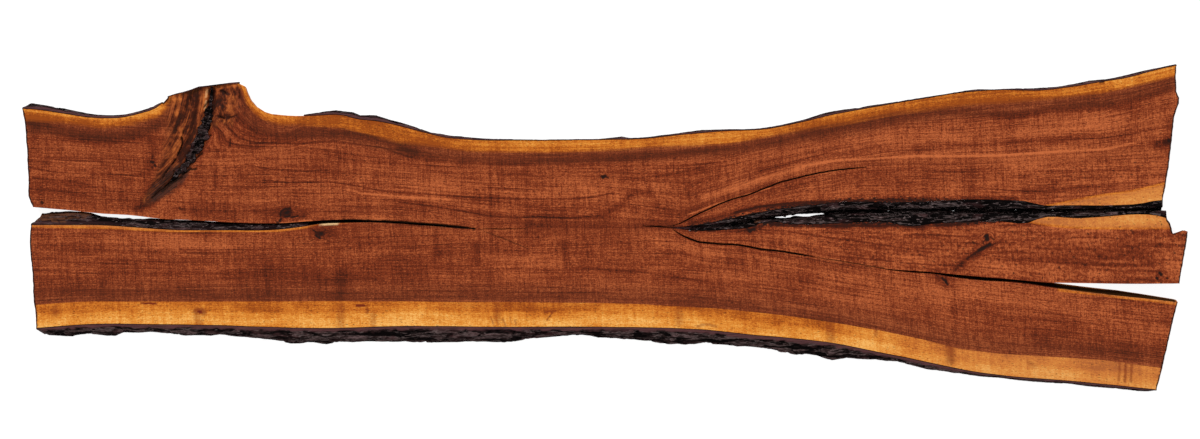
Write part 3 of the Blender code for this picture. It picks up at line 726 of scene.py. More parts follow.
def sharp_strokes(spots, strokes):
    """The strongest of several strokes with a firm edge."""
    result = np.zeros(len(spots))
    for points, half_width, strength in strokes:
        distance = line_distance(spots, from_photo(points), 3.0 * half_width)[0]
        near = np.nonzero(distance < 3.0 * half_width)[0]
        distance[near] += 0.6 * half_width * noise_at(spots[near], (4.5, 4.5), 7.7)
        result = np.maximum(result, strength * fade(distance, half_width * 1.5, half_width * 0.5))
    return result


class Shader:
    """A few short words for building a node material."""

    def __init__(self, name):
        self.material = bpy.data.materials.new(name)
        self.material.use_nodes = True
        self.tree = self.material.node_tree
        self.surface = self.tree.nodes["Principled BSDF"]
        self.place = self.stretch(self.node("ShaderNodeTexCoord").outputs["Object"], (METRES,) * 3)

    def node(self, kind):
        return self.tree.nodes.new(kind)

    def feed(self, socket, value):
        if isinstance(value, bpy.types.NodeSocket):
            self.tree.links.new(value, socket)
        elif isinstance(value, tuple) and socket.type == "RGBA":
            socket.default_value = (*value, 1.0)
        else:
            socket.default_value = value

    def attribute(self, name, vector=False):
        node = self.node("ShaderNodeAttribute")
        node.attribute_name = name
        return node.outputs["Vector" if vector else "Fac"]

    def maths(self, operation, first, second=0.0):
        node = self.node("ShaderNodeMath")
        node.operation = operation
        self.feed(node.inputs[0], first)
        self.feed(node.inputs[1], second)
        return node.outputs[0]

    def times(self, first, second):
        return self.maths("MULTIPLY", first, second)

    def most(self, first, second):
        return self.maths("MAXIMUM", first, second)

    def stretch(self, vector, lengths):
        """A position divided by a length for each direction."""
        node = self.node("ShaderNodeVectorMath")
        node.operation = "DIVIDE"
        self.feed(node.inputs[0], vector)
        node.inputs[1].default_value = lengths
        return node.outputs[0]

    def turn(self, vector, degrees):
        node = self.node("ShaderNodeVectorRotate")
        node.rotation_type = "Z_AXIS"
        self.feed(node.inputs["Vector"], vector)
        node.inputs["Angle"].default_value = np.radians(degrees)
        return node.outputs[0]

    def grain(self, vector, lengths, detail=2.0, rough=0.5, warp=0.0):
        """Noise from 0 to 1 at a stretched position."""
        node = self.node("ShaderNodeTexNoise")
        self.feed(node.inputs["Vector"], self.stretch(vector, lengths))
        node.inputs["Scale"].default_value = 1.0
        node.inputs["Detail"].default_value = detail
        node.inputs["Roughness"].default_value = rough
        node.inputs["Distortion"].default_value = warp
        return node.outputs["Fac"]

    def span(self, value, low, high, out_low=0.0, out_high=1.0):
        """Carries a value from one range to another, held at both ends."""
        node = self.node("ShaderNodeMapRange")
        node.interpolation_type = "SMOOTHSTEP"
        self.feed(node.inputs["Value"], value)
        limits = {"From Min": low, "From Max": high, "To Min": out_low, "To Max": out_high}
        for name, number in limits.items():
            node.inputs[name].default_value = number
        return node.outputs["Result"]

    def mix(self, share, first, second):
        node = self.node("ShaderNodeMix")
        node.data_type = "RGBA"
        self.feed(node.inputs[0], share)
        self.feed(node.inputs[6], first)
        self.feed(node.inputs[7], second)
        return node.outputs[2]

    def ramp(self, value, stops):
        node = self.node("ShaderNodeValToRGB")
        self.feed(node.inputs[0], value)
        band = node.color_ramp
        band.elements[0].position, band.elements[0].color = stops[0][0], (*stops[0][1], 1.0)
        band.elements[1].position, band.elements[1].color = stops[-1][0], (*stops[-1][1], 1.0)
        for position, colour in stops[1:-1]:
            band.elements.new(position).color = (*colour, 1.0)
        return node.outputs["Color"]

    def total(self, start, *terms):
        """A start value plus weighted terms, each term taken from 0.5."""
        shifted = [(self.maths("SUBTRACT", value, 0.5), weight) for value, weight in terms]
        return self.plus(start, *shifted)

    def plus(self, start, *terms):
        """A start value plus weighted terms."""
        for value, weight in terms:
            start = self.maths("ADD", start, self.times(value, weight))
        return start

    def bump(self, height, distance, strength=1.0):
        node = self.node("ShaderNodeBump")
        node.inputs["Strength"].default_value = strength
        node.inputs["Distance"].default_value = distance * METRES
        self.feed(node.inputs["Height"], height)
        self.tree.links.new(node.outputs[0], self.surface.inputs["Normal"])


class Walnut(Shader):
    """The wood's material: the noises that its parts share, and a method for each part."""

    def __init__(self):
        super().__init__("walnut")
        self.fibre = self.attribute("grain", vector=True)
        self.rings = self.grain(self.fibre, (420.0, 8.0, 26.0), 3.0, 0.6)
        self.fine = self.grain(self.fibre, (90.0, 2.3, 12.0), 2.0, 0.6)
        self.pores = self.grain(self.fibre, (9.0, 1.8, 2.5), 2.0, 0.6)
        self.speckle = self.grain(self.place, (2.2, 2.0, 2.0), 1.0)
        self.patches = self.grain(self.place, (150.0, 60.0, 60.0), 3.0)
        across = self.turn(self.place, -3.0)
        self.saw = self.grain(across, (2.5, 42.0, 40.0), 1.0)
        self.saw_wide = self.grain(across, (11.0, 120.0, 60.0), 2.0, 0.6)
        groups = self.span(self.grain(self.place, (70.0, 95.0, 80.0)), 0.38, 0.62, 0.35, 1.0)
        self.saw_dark = self.times(self.span(self.saw, 0.54, 0.70), groups)
        self.front = self.total(self.attribute("front_sap"), (self.rings, 5.0))
        self.back = self.total(self.attribute("back_sap"), (self.rings, 22.0))
        self.other = self.total(self.attribute("other_sap"), (self.rings, 6.0))
        is_sap = self.most(self.span(self.front, -1.0, 1.0), self.span(self.back, -7.0, 6.0))
        self.is_sap = self.most(is_sap, self.span(self.other, -2.0, 2.0))
        pits = self.span(self.grain(self.fibre, (9.0, 2.1, 2.0), 1.0), 0.63, 0.73)
        self.pits = self.times(pits, 0.65)

    def heartwood(self):
        """Broad bands, rings, fine lines and saw marks; darker beside the sapwood."""
        broad = self.grain(self.fibre, (800.0, 30.0, 60.0))
        line_dark = self.span(self.grain(self.fibre, (380.0, 4.0, 20.0)), 0.58, 0.66)
        value = self.total(
            0.60, (broad, 0.42), (self.rings, 0.55), (self.fine, 0.80), (self.pores, 0.90),
            (self.speckle, 0.95), (self.patches, 0.50), (self.saw_wide, 0.35), (self.saw, 0.75),
        )
        # darker where the strokes lie, among them painted shade beside the ravine
        value = self.plus(
            value, (self.attribute("fork_end"), 0.07), (self.saw_dark, -0.22), (line_dark, -0.22),
            (self.attribute("tone_and_shade"), -0.30),
        )
        heart = self.ramp(value, ((0.0, HEART_DARK), (0.50, HEART_MID), (1.0, HEART_LIGHT)))
        shade = self.mix(0.62, heart, BAND_DARK)
        colour = self.mix(self.times(self.span(self.front, -75.0, -4.0), 0.55), heart, shade)
        return self.mix(self.times(self.span(self.back, -44.0, -22.0), 0.55), colour, shade)

    def sapwood(self):
        """Pale gold outside and deeper inside, with reddish stains."""
        clouds = self.grain(self.place, (55.0, 22.0, 40.0), 3.0, 0.6)
        value = self.total(
            0.26, (self.rings, 0.40), (self.fine, 0.55), (self.pores, 0.95), (self.speckle, 0.85),
            (self.patches, 1.05), (self.saw_wide, 0.50), (self.saw, 0.35), (clouds, 0.6),
        )
        gold = self.times(self.attribute("gold"), self.span(self.rings, 0.35, 0.60, 0.7, 1.2))
        value = self.plus(
            value, (self.span(self.front, 14.0, 46.0), 0.42), (self.span(self.back, -8.0, 0.0), -0.24),
            (gold, 1.0), (self.span(self.other, 6.0, 26.0), 0.22), (self.saw_dark, -0.14),
        )
        sap = self.ramp(value, ((0.0, SAP_DARK), (0.30, SAP_DEEP), (0.62, SAP_MID), (1.0, SAP_PALE)))
        fork_front = self.times(self.attribute("fork_end"), self.span(self.front, -6.0, 0.0))
        in_wedge = self.times(self.span(self.other, 0.0, 8.0), 0.4)
        paler = self.most(in_wedge, self.times(fork_front, 0.35))
        return self.mix(self.attribute("stain"), self.mix(paler, sap, WEDGE_PALE), STAIN_RED)

    def edge_flecks(self, colour):
        """Small dark flecks along the back edge."""
        flecks = self.span(self.grain(self.fibre, (7.0, 2.6, 4.0)), 0.60, 0.68)
        flecks = self.times(flecks, self.span(self.back, 14.0, 34.0))
        return self.mix(self.times(flecks, 0.7), colour, HEART_DARK)

    def torn_wood(self, colour):
        """Torn wood round the ravine with streaks along it, grey splinters, fresh light-coloured wood,
        and a painted patch of light at the split.
        """
        along = self.attribute("torn_grain", vector=True)
        streaks = self.total(
            0.46, (self.grain(along, (110.0, 8.0, 14.0), 3.0, 0.65), 1.3),
            (self.grain(along, (40.0, 2.6, 6.0), 3.0, 0.65), 1.1),
            (self.grain(self.place, (16.0, 13.0, 16.0), 3.0, 0.65), 1.0),
        )
        streaks = self.plus(streaks, (self.attribute("torn_tone"), -0.36))
        stops = ((0.0, TORN_DARK), (0.32, HEART_DARK), (0.60, TORN_RED), (1.0, TORN_GOLD))
        colour = self.mix(self.times(self.attribute("torn"), 0.92), colour, self.ramp(streaks, stops))
        splinters = self.grain(along, (45.0, 3.2, 6.0), 3.0, 0.65)
        grey = self.ramp(splinters, ((0.44, TORN_DARK), (0.58, SPLINTER_GREY), (0.72, TORN_RED)))
        strands = self.span(self.grain(along, (60.0, 4.0, 8.0), 2.0, 0.6), 0.42, 0.60, 1.0, 0.5)
        colour = self.mix(self.times(self.attribute("splinter"), strands), colour, grey)
        # fresh wood, and painted light at the split
        return self.mix(self.attribute("pale_and_lit"), colour, PALE_WOOD_AND_LIGHT)

    def cut_faces(self, colour):
        """Cut ends, painted shade on the split faces and the other walls, dark rims and the ragged black
        flecks on the fork's lips.
        """
        end_rings = self.grain(self.fibre, (40.0, 4.0, 9.0), 3.0, 0.6)
        end_colour = self.ramp(end_rings, ((0.25, HEART_DARK), (0.75, HEART_MID)))
        end_colour = self.mix(self.times(self.is_sap, 0.7), end_colour, SAP_DEEP)
        colour = self.mix(self.attribute("end"), colour, end_colour)
        # painted shade: the walls that are not cut ends are painted near-black
        colour = self.mix(self.times(self.attribute("wall_shade"), 0.94), colour, SHADE_BLACK)
        rim = self.total(self.attribute("rim"), (self.grain(self.place, (9.0, 9.0, 9.0)), 0.9))
        colour = self.mix(self.times(self.span(rim, 0.28, 0.55), 0.9), colour, MARK_DARK)
        lip = self.attribute("fork_lip")
        flecks = self.total(lip, (self.grain(self.place, (11.0, 4.2, 5.0), 3.0, 0.65), 2.4))
        flecks = self.times(self.span(flecks, 0.70, 0.95), self.span(lip, 0.0, 0.15))
        return self.mix(flecks, colour, MARK_DARK)

    def knots_and_cracks(self, colour):
        """Knots and marks with ragged dark edges, open pores, and black painted shade in the cracks."""
        mark = self.attribute("mark")
        ragged = self.total(0.0, (self.fine, 0.5), (self.speckle, 0.7), (self.pores, 0.5))
        mark = self.plus(mark, (ragged, self.span(mark, 0.05, 0.3)))
        colour = self.mix(self.times(self.span(mark, 0.05, 0.40), 0.8), colour, HEART_DARK)
        colour = self.mix(self.span(mark, 0.42, 0.75), colour, MARK_DARK)
        colour = self.mix(self.pits, colour, MARK_DARK)
        # painted shade: the cracks are painted near-black
        return self.mix(self.attribute("crack"), colour, SHADE_BLACK)


def walnut_material():
    s = Walnut()
    colour = s.edge_flecks(s.mix(s.is_sap, s.heartwood(), s.sapwood()))
    colour = s.knots_and_cracks(s.cut_faces(s.torn_wood(colour)))
    s.feed(s.surface.inputs["Base Color"], colour)
    s.feed(s.surface.inputs["Roughness"], s.span(s.fine, 0.3, 0.7, 0.62, 0.46))
    s.feed(s.surface.inputs["Specular IOR Level"], s.span(s.attribute("wall_shade"), 0.0, 0.4, 0.03, 0.0))
    height = s.total(0.5, (s.fine, 0.6), (s.pores, 0.4), (s.saw, 0.4))
    s.bump(s.plus(height, (s.pits, -0.8)), 0.9, 0.6)
    return s.material


def bark_material():
    s = Shader("bark")
    opening_shade = s.attribute("opening_shade")
    plates = s.grain(s.place, (60.0, 9.0, 12.0), 3.0, 0.6, 0.6)
    grit = s.grain(s.place, (8.0, 3.2, 4.0), 2.0, 0.6)
    glints = s.span(s.grain(s.place, (12.0, 3.6, 4.5), 1.0), 0.65, 0.72)
    flake_highlights = s.maths("ABSOLUTE", s.maths("SUBTRACT", plates, 0.55))
    grey = s.grain(s.place, (60.0, 26.0, 18.0), 3.0, 0.6)
    # painted highlight on the plates' ridges and painted shade in the furrows
    value = s.total(0.34, (s.attribute("ridge_lighting"), 0.30), (plates, 2.1), (grit, 0.9))
    # painted shade: bark deep in the openings is darker
    value = s.plus(value, (opening_shade, -0.20))
    outer = s.ramp(value, ((0.28, BARK_BLACK), (0.60, BARK_BROWN), (1.0, BARK_GREY)))
    # painted highlights: thin light lines along the plates' edges, and glints on bark in the openings
    outer = s.mix(s.times(s.span(flake_highlights, 0.030, 0.006), 0.35), outer, BARK_GLINT)
    outer = s.mix(s.times(s.times(glints, opening_shade), 0.6), outer, BARK_GLINT)
    outer = s.mix(s.times(s.span(grey, 0.52, 0.68), 0.3), outer, BARK_INNER)

    # Next to the wood the sawn inner bark is purple-brown, behind a thin black line
    gap = s.attribute("gap")
    layers = s.grain(s.place, (60.0, 2.4, 5.0), 3.0, 0.65)
    inner = s.ramp(layers, ((0.28, BARK_BROWN), (0.52, BARK_INNER)))
    near_wood = s.span(s.total(gap, (grey, 22.0)), BARK_LAYER * 0.7, BARK_LAYER * 0.4)
    is_inner = s.times(near_wood, s.attribute("sawn"))
    is_inner = s.times(is_inner, s.maths("SUBTRACT", 1.0, opening_shade))
    colour = s.mix(is_inner, outer, inner)
    colour = s.mix(s.span(gap, 2.6, 1.2), colour, BARK_BLACK)
    fibre = s.times(s.attribute("fibre"), s.span(layers, 0.32, 0.52))
    s.feed(s.surface.inputs["Base Color"], s.mix(fibre, colour, FIBRE_BROWN))
    s.feed(s.surface.inputs["Roughness"], s.span(grit, 0.3, 0.7, 0.45, 0.75))
    s.surface.inputs["Specular IOR Level"].default_value = 0.0
    s.bump(s.total(0.5, (plates, 1.0), (grit, 0.4)), 4.0, 1.0)
    return s.material


def floor_material():
    s = Shader("pale_floor")
    s.feed(s.surface.inputs["Base Color"], FLOOR_GREY)
    s.feed(s.surface.inputs["Roughness"], 0.9)
    s.feed(s.surface.inputs["Emission Color"], WHITE)
    s.feed(s.surface.inputs["Emission Strength"], FLOOR_GLOW)
    return s.material


def ordered_loop(edges):
    """The vertices of one closed loop of boundary edges, in order."""
    nexts = {}
    for first, second in edges:
        nexts.setdefault(first, []).append(second)
        nexts.setdefault(second, []).append(first)
    start = edges[0][0]
    loop, previous, current = [start], None, start
    while True:
        step = [vertex for vertex in nexts[current] if vertex != previous]
        previous, current = current, step[0]
        if current == start:
            return loop
        loop.append(current)


def open_solid(node):
    """A CAD solid's mesh, open for editing, with its doubled points joined."""
    shape = bmesh.new()
    shape.from_mesh(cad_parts[node].data)
    bmesh.ops.remove_doubles(shape, verts=shape.verts[:], dist=0.01 * METRES)
    bmesh.ops.recalc_face_normals(shape, faces=shape.faces[:])
    return shape


def cut_finer(shape, cuts):
    """Cuts up the faces of a shape, and gives its points in millimetres and its triangles."""
    bmesh.ops.subdivide_edges(shape, edges=shape.edges[:], cuts=cuts, use_grid_fill=True)
    bmesh.ops.triangulate(shape, faces=shape.faces[:])
    shape.verts.index_update()
    points = np.array([v.co[:] for v in shape.verts]) * MILLIMETRES
    return points, [[v.index for v in f.verts] for f in shape.faces]


def walls_of_wood():
    """The slab's walls from the CAD solid, in finer faces, with its top and bottom taken off."""
    shape = open_solid("wood_slab")
    flat = [f for f in shape.faces if f.normal.z > UP_FACING or f.normal.z < DOWN_FACING]
    bmesh.ops.delete(shape, geom=flat, context="FACES")
    points, faces = cut_finer(shape, WALL_CUTS)
    rims = [(e.verts[0].index, e.verts[1].index) for e in shape.edges if e.is_boundary]
    shape.free()
    top = [pair for pair in rims if points[pair[0], 2] > THICKNESS / 2.0]
    bottom = [pair for pair in rims if points[pair[0], 2] < THICKNESS / 2.0]
    return points, faces, ordered_loop(top), ordered_loop(bottom)


def inside_loop(loop, spots, margin):
    """Which of many points lie in a closed loop and at least a margin from it."""
    keep = np.zeros(len(spots), dtype=bool)
    clear = np.ones(len(spots), dtype=bool)
    for start, end in zip(loop, np.roll(loop, -1, axis=0)):
        if start[1] != end[1]:
            spans = (start[1] > spots[:, 1]) != (end[1] > spots[:, 1])
            reach = start[0] + (spots[:, 1] - start[1]) * (end[0] - start[0]) / (end[1] - start[1])
            keep ^= spans & (reach > spots[:, 0])
        low, high = np.minimum(start, end) - margin, np.maximum(start, end) + margin
        close = np.nonzero(((spots >= low) & (spots <= high)).all(axis=1))[0]
        if len(close):
            clear[close] &= line_distance(spots[close], np.array([start, end]))[0] >= margin
    return keep & clear


def grid(low, high, spacing, rng):
    """A slightly uneven grid of points over a box."""
    across = [np.arange(low[axis], high[axis], spacing) for axis in (0, 1)]
    spots = np.stack([axis.ravel() for axis in np.meshgrid(*across)], axis=1)
    return spots + rng.uniform(-0.25, 0.25, spots.shape) * spacing


def refine(spots, line, reach, spacing, rng):
    """Changes the points within reach of a line for finer ones."""
    patch = grid(line.min(axis=0) - reach, line.max(axis=0) + reach, spacing, rng)
    patch = patch[line_distance(patch, line)[0] < reach]
    rest = spots[line_distance(spots, line, reach)[0] > reach]
    return np.concatenate([rest, patch])


def top_points(loop, rng):
    """Points for the top face, finer round the stub and the marks, and rows along cracks."""
    spots = grid(loop.min(axis=0), loop.max(axis=0), TOP_SPACING, rng)
    path = walk(RAVINE_PATH, RAVINE_STEP)
    low, high = path.min(axis=0) - 100.0, path.max(axis=0) + (110.0, 10.0)
    in_stub = ((spots > low) & (spots < high)).all(axis=1)
    spots = np.concatenate([spots[~in_stub], grid(low, high, STUB_SPACING, rng)])
    for points, half_width, _ in MARKS_SEEN + STAINS_SEEN + TORN_CRACKS_SEEN + PALE_AND_LIT_SEEN:
        if half_width < TOP_SPACING:
            spots = refine(spots, from_photo(points), half_width * 1.6 + 3.0, MARK_SPACING, rng)
    rows = []
    for crack in cracks:
        spots = spots[line_distance(spots, crack.line, 6.0)[0] > 4.2]
        rows += list(crack.rows())
    for line, half_width, _ in lines:
        spots = spots[line_distance(spots, line, 10.0)[0] > half_width + 1.5]
        side = sideways(line) * half_width
        rows += [line, line + side, line - side]
    spots = spots[inside_loop(loop, spots, GRID_MARGIN)]
    inward = sideways(np.concatenate([loop, loop[:1]]))[:-1] * np.sign(loop_area(loop))
    rim = loop + RIM_WIDTH * inward
    spots = np.concatenate([spots, rim[inside_loop(loop, rim, RIM_WIDTH * 0.6)]])
    rows = [row[inside_loop(loop, row, 1.5)] for row in rows]
    return spots, [row for row in rows if len(row) > 1]


def loop_area(loop):
    """Signed area of a closed loop, above 0 where it runs anticlockwise."""
    after = np.roll(loop, -1, axis=0)
    return 0.5 * np.sum(loop[:, 0] * after[:, 1] - loop[:, 1] * after[:, 0])


def fill(loop, spots, rows=()):
    """Triangles over a closed loop, through loose points and along rows of points."""
    flat = [Vector(spot) for spot in loop]
    edges = [(i, (i + 1) % len(loop)) for i in range(len(loop))]
    for row in rows:
        first = len(flat)
        flat += [Vector(spot) for spot in row]
        for index in range(len(row) - 1):
            if np.hypot(*(row[index + 1] - row[index])) < 2.0 * LINE_STEP:
                edges.append((first + index, first + index + 1))
    flat += [Vector(spot) for spot in spots]
    made, _, faces, origin, _, _ = delaunay_2d_cdt(flat, edges, [], 1, 1e-4)
    places = np.array([spot[:] for spot in made])
    from_loop = {}
    for index, sources in enumerate(origin):
        for source in sources:
            if source < len(loop):
                from_loop[index] = source
    return places, faces, from_loop


def attach(points, faces, loop, cap, heights):
    """Adds a filled cap to the walls, sharing the loop's vertices."""
    places, triangles, from_loop = cap
    index = np.zeros(len(places), dtype=int)
    added = []
    for place in range(len(places)):
        if place in from_loop:
            index[place] = loop[from_loop[place]]
        else:
            index[place] = len(points) + len(added)
            added.append((*places[place], heights[place]))
    for triangle in triangles:
        corners = [int(index[corner]) for corner in triangle]
        if len(set(corners)) == 3:
            faces.append(corners)
    return np.concatenate([points, np.array(added)])


def wood_tree():
    """A search tree over the CAD wood's faces."""
    shape = bmesh.new()
    shape.from_mesh(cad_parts["wood_slab"].data)
    tree = BVHTree.FromBMesh(shape)
    shape.free()
    return tree


wood = wood_tree()


def surface_heights(spots):
    """Height of the CAD wood's top side under many points."""
    heights = np.full(len(spots), THICKNESS)
    down = Vector((0.0, 0.0, -1.0))
    for index, (x, y) in enumerate(spots * METRES):
        hit = wood.ray_cast(Vector((x, y, 1.0)), down)[0]
        if hit is not None:
            heights[index] = hit.z * MILLIMETRES
    return heights


def nearest_wood(points):
    """Nearest places on the CAD wood and their distances, in millimetres."""
    hits = [wood.find_nearest(Vector(spot) * METRES) for spot in points]
    foot = np.array([hit[0][:] for hit in hits]) * MILLIMETRES
    return foot, np.array([hit[3] for hit in hits]) * MILLIMETRES


def ravine_place(spots):
    """Place of many points along the ravine and across it, the stub's tip side positive."""
    distance, along, side = line_distance(spots, walk(RAVINE_PATH, RAVINE_STEP))
    return along, distance * side


def torn_mask(along, side):
    """1 in the torn wood round the ravine, 0 outside it."""
    width = read_table(TORN_WIDTH, along)
    left = fade(-side, width * 1.2, width * 0.75)
    right = fade(side, TORN_RIGHT, TORN_RIGHT * 0.75) * fade(along, *TORN_TIP_END)
    right = np.maximum(right, fade(side, *TORN_NEAR))
    return np.where(side < 0.0, left, right) * fade(along, *TORN_END)


def splinter_mask(along, side):
    """1 in the grey splinters at the ravine's lower end."""
    width = read_table(SPLINTER_WIDTH, along)
    mask = fade(np.abs(side), width * 1.3, width * 0.6)
    return mask * fade(along, *SPLINTER_START) * fade(along, *SPLINTER_END)


def fine_relief(spots):
    """Heights of the top face: the CAD's relief with torn ridges and cracks on top of it."""
    along, side = ravine_place(spots)
    torn = torn_mask(along, side)
    heights = np.full(len(spots), THICKNESS)
    near = np.nonzero((np.abs(side) < RAVINE_REACH) & (along < RAVINE_END))[0]
    heights[near] = surface_heights(spots[near])
    ridged = np.nonzero(torn > 0.01)[0]
    ridges = relief(np.stack([along[ridged], side[ridged]], axis=1), TORN_RIDGES)
    ridges += fade(side[ridged], 4.0, 14.0) * relief(spots[ridged], TIP_LUMPS)
    ridges -= TORN_STREAK_DEPTH * soft_strokes(spots[ridged], TORN_SEEN)
    heights[ridged] += (ridges - TORN_SINK) * torn[ridged]
    heights -= TORN_CRACK_DEPTH * sharp_strokes(spots, TORN_CRACKS_SEEN)
    for crack in cracks:
        heights -= crack.depth * crack.share(spots)
    heights -= MARK_DEPTH * sharp_strokes(spots, MARKS_SEEN)
    return np.clip(heights, DEEPEST, THICKNESS)


def ring_place(spots):
    """Place of many points across the rings, read between the grain lines."""
    x, y = spots.T
    levels = [read_table(line, x) for line, _ in GRAIN_LINES]
    values = [value for _, value in GRAIN_LINES]
    result = values[0] + (y - levels[0])
    for high, low, upper, lower in zip(levels[:-1], levels[1:], values[:-1], values[1:]):
        share = np.clip((y - low) / np.maximum(high - low, 0.5), 0.0, 1.0)
        result = np.where(y <= high, lower + share * (upper - lower), result)
    result = np.where(y < levels[-1], values[-1] + (y - levels[-1]), result)
    to_edge = line_distance(spots, STUB_RIGHT_SIDE)[0]
    turning = fade(x, *TURN_LEFT) * fade(x, *TURN_RIGHT) * fade(y, *TURN_INSIDE)
    result = result * (1.0 - turning) + (BACK_RING - STUB_RING_PITCH * to_edge) * turning
    for points, reach in KNOTS_SEEN:
        line = from_photo(points)
        distance = line_distance(spots, line, 3.0 * reach)[0]
        result -= (y - line[0, 1]) * KNOT_BEND * np.exp(-((distance / reach) ** 2))
    return result + relief(spots, RING_WAVES)


def grain_field(points):
    """Position along and across the grain and below the top face, for every vertex."""
    ring = ring_place(points[:, :2])
    below = np.maximum(THICKNESS - points[:, 2], 0.0)
    from_pith = ring - PITH_RING
    ring = PITH_RING + np.where(from_pith < 0.0, -1.0, 1.0) * np.hypot(from_pith, below)
    return np.stack([points[:, 0], ring, below], axis=1)


def sap_fields(spots):
    """Signed distances into the front, back and small sapwood, and how gold the back one is."""
    x, y = spots.T
    front = read_table(FRONT_SAP_LINE, x) - y
    start, end = STUB_SPAN
    in_stub = fade(x, start, start + STUB_BLEND) * fade(x, end, end - STUB_BLEND)
    to_edge = line_distance(spots, STUB_OUTLINE)[0]
    back = (y - read_table(BACK_SAP_LINE, x)) * (1.0 - in_stub)
    back += (read_table(STUB_SAP_WIDTH, x) - to_edge) * in_stub
    depth = (read_table(GRAIN_BACK_EDGE, x) - y) * (1.0 - in_stub) + to_edge * in_stub
    width = read_table(BACK_GOLD_WIDTH, x)
    gold = read_table(BACK_GOLD_STRENGTH, x) * fade(depth, width + 8.0, width - 5.0)
    in_upper = (x > UPPER_WEDGE_START[0]) & (y > UPPER_WEDGE_START[1])
    upper = np.where(in_upper, read_table(UPPER_WEDGE_LINE, x) - y, NO_SAP)
    in_middle = (x > MIDDLE_WEDGE_START[0]) & (y < MIDDLE_WEDGE_START[1])
    middle = np.where(in_middle, y - read_table(MIDDLE_WEDGE_LINE, x), NO_SAP)
    middle = np.minimum(middle, y - MIDDLE_WEDGE_FRONT)
    split_middle = (read_table(GRAIN_FORK_BACK, x) + read_table(GRAIN_FORK_FRONT, x)) / 2.0
    lip = y - read_table(GRAIN_FORK_FRONT, x) + read_table(SPLIT_LIP_WIDTH, x)
    lip = np.where((x < SPLIT_LIP_END) & (y < split_middle), lip, NO_SAP)
    gap = y - read_table(GAP_LINE, x)
    in_gap = (x > GAP_START[0]) & (y < GAP_START[1]) & (gap < GAP_LIP_WIDTH)
    gap = np.where(in_gap, gap, NO_SAP)
    return front, back, np.maximum.reduce([upper, middle, lip, gap]), gold


def fork_lips(spots):
    """1 on the wood at the fork's bark, falling to 0 a little way from it."""
    x, y = spots.T
    away = np.maximum(y - read_table(GRAIN_FORK_BACK, x), read_table(GRAIN_FORK_FRONT, x) - y)
    near = fade(away, read_table(FORK_LIP_WIDTH, x), -2.0)
    return near * fade(x, *FORK_LIP_START) * fade(x, *FORK_LIP_END)


def wood_tones_and_shade(spots):
    """Darker and lighter places in the heartwood, some of them painted shade beside the ravine, and its
    fine lines.
    """
    tone_and_shade = soft_strokes(spots, TONES_AND_SHADE_SEEN)
    for line, half_width, strength in lines:
        distance = line_distance(spots, line, 10.0)[0]
        tone_and_shade += LINE_CONTRAST * strength * np.clip(1.0 - distance / half_width, 0.0, 1.0)
    return tone_and_shade


def crack_shade_shares(spots):
    """How dark the painted shade in the cracks makes the wood."""
    shares = [crack.darkness * crack.share(spots) for crack in cracks]
    return np.maximum.reduce([sharp_strokes(spots, TORN_CRACKS_SEEN), *shares])


def add_attributes(mesh, values):
    """Stores numbers or vectors for every point, under their names."""
    for name, numbers in values.items():
        numbers = np.asarray(numbers, dtype=np.float32)
        kind, field = ("FLOAT_VECTOR", "vector") if numbers.ndim == 2 else ("FLOAT", "value")
        mesh.attributes.new(name, kind, "POINT").data.foreach_set(field, numbers.ravel())


def link_object(name, points, faces, finish):
    mesh = bpy.data.meshes.new(name)
    mesh.from_pydata([Vector(spot) for spot in np.asarray(points) * METRES], [], faces)
    mesh.update()
    mesh.shade_smooth()
    mesh.materials.append(finish)
    made = bpy.data.objects.new(name, mesh)
    bpy.context.collection.objects.link(made)
    return made


def turn_outwards(mesh):
    shape = bmesh.new()
    shape.from_mesh(mesh)
    bmesh.ops.recalc_face_normals(shape, faces=shape.faces[:])
    shape.to_mesh(mesh)
    shape.free()


def vertex_normals(mesh):
    normals = np.zeros(len(mesh.vertices) * 3, dtype=np.float32)
    mesh.vertex_normals.foreach_get("vector", normals)
    return normals.reshape(-1, 3)


def roughen_walls(points, faces, rims):
    """Chainsaw scores on the cut ends and small unevenness on the other walls, cut inwards."""
    shape = bpy.data.meshes.new("walls")
    shape.from_pydata([Vector(spot) for spot in points], [], faces)
    shape.update()
    normals = vertex_normals(shape)
    bpy.data.meshes.remove(shape)
    ends = np.abs(normals[:, 0]) > STEEP
    shift = np.where(ends, relief(points, END_SCORES), relief(points, WALL_BUMPS)) - WALL_SINK
    shift[rims] = np.where(ends[rims], relief(points[rims], RIM_BUMPS) - RIM_SINK, 0.0)
    shift[np.abs(normals[:, 2]) > STEEP] = 0.0
    return points + normals * shift[:, None]


def walnut_slab(finish):
    """The whole board in fine faces, in the CAD solid's place."""
    rng = np.random.default_rng(SEED)
    points, faces, top_loop, bottom_loop = walls_of_wood()
    points = roughen_walls(points, faces, top_loop + bottom_loop)
    wall_count = len(points)
    outline = points[top_loop][:, :2]
    cap = fill(outline, *top_points(outline, rng))
    points = attach(points, faces, top_loop, cap, fine_relief(cap[0]))
    under = points[bottom_loop][:, :2]
    loose = grid(under.min(axis=0), under.max(axis=0), UNDERSIDE_SPACING, rng)
    cap = fill(under, loose[inside_loop(under, loose, UNDERSIDE_SPACING / 3.0)])
    points = attach(points, faces, bottom_loop, cap, np.zeros(len(cap[0])))
    slab = link_object("walnut_slab", points, faces, finish)
    turn_outwards(slab.data)
    slab.data.set_sharp_from_angle(angle=np.radians(50.0))
    colour_wood(slab.data, points, top_loop, wall_count)
    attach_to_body(slab, "root")
    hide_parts("wood_slab")


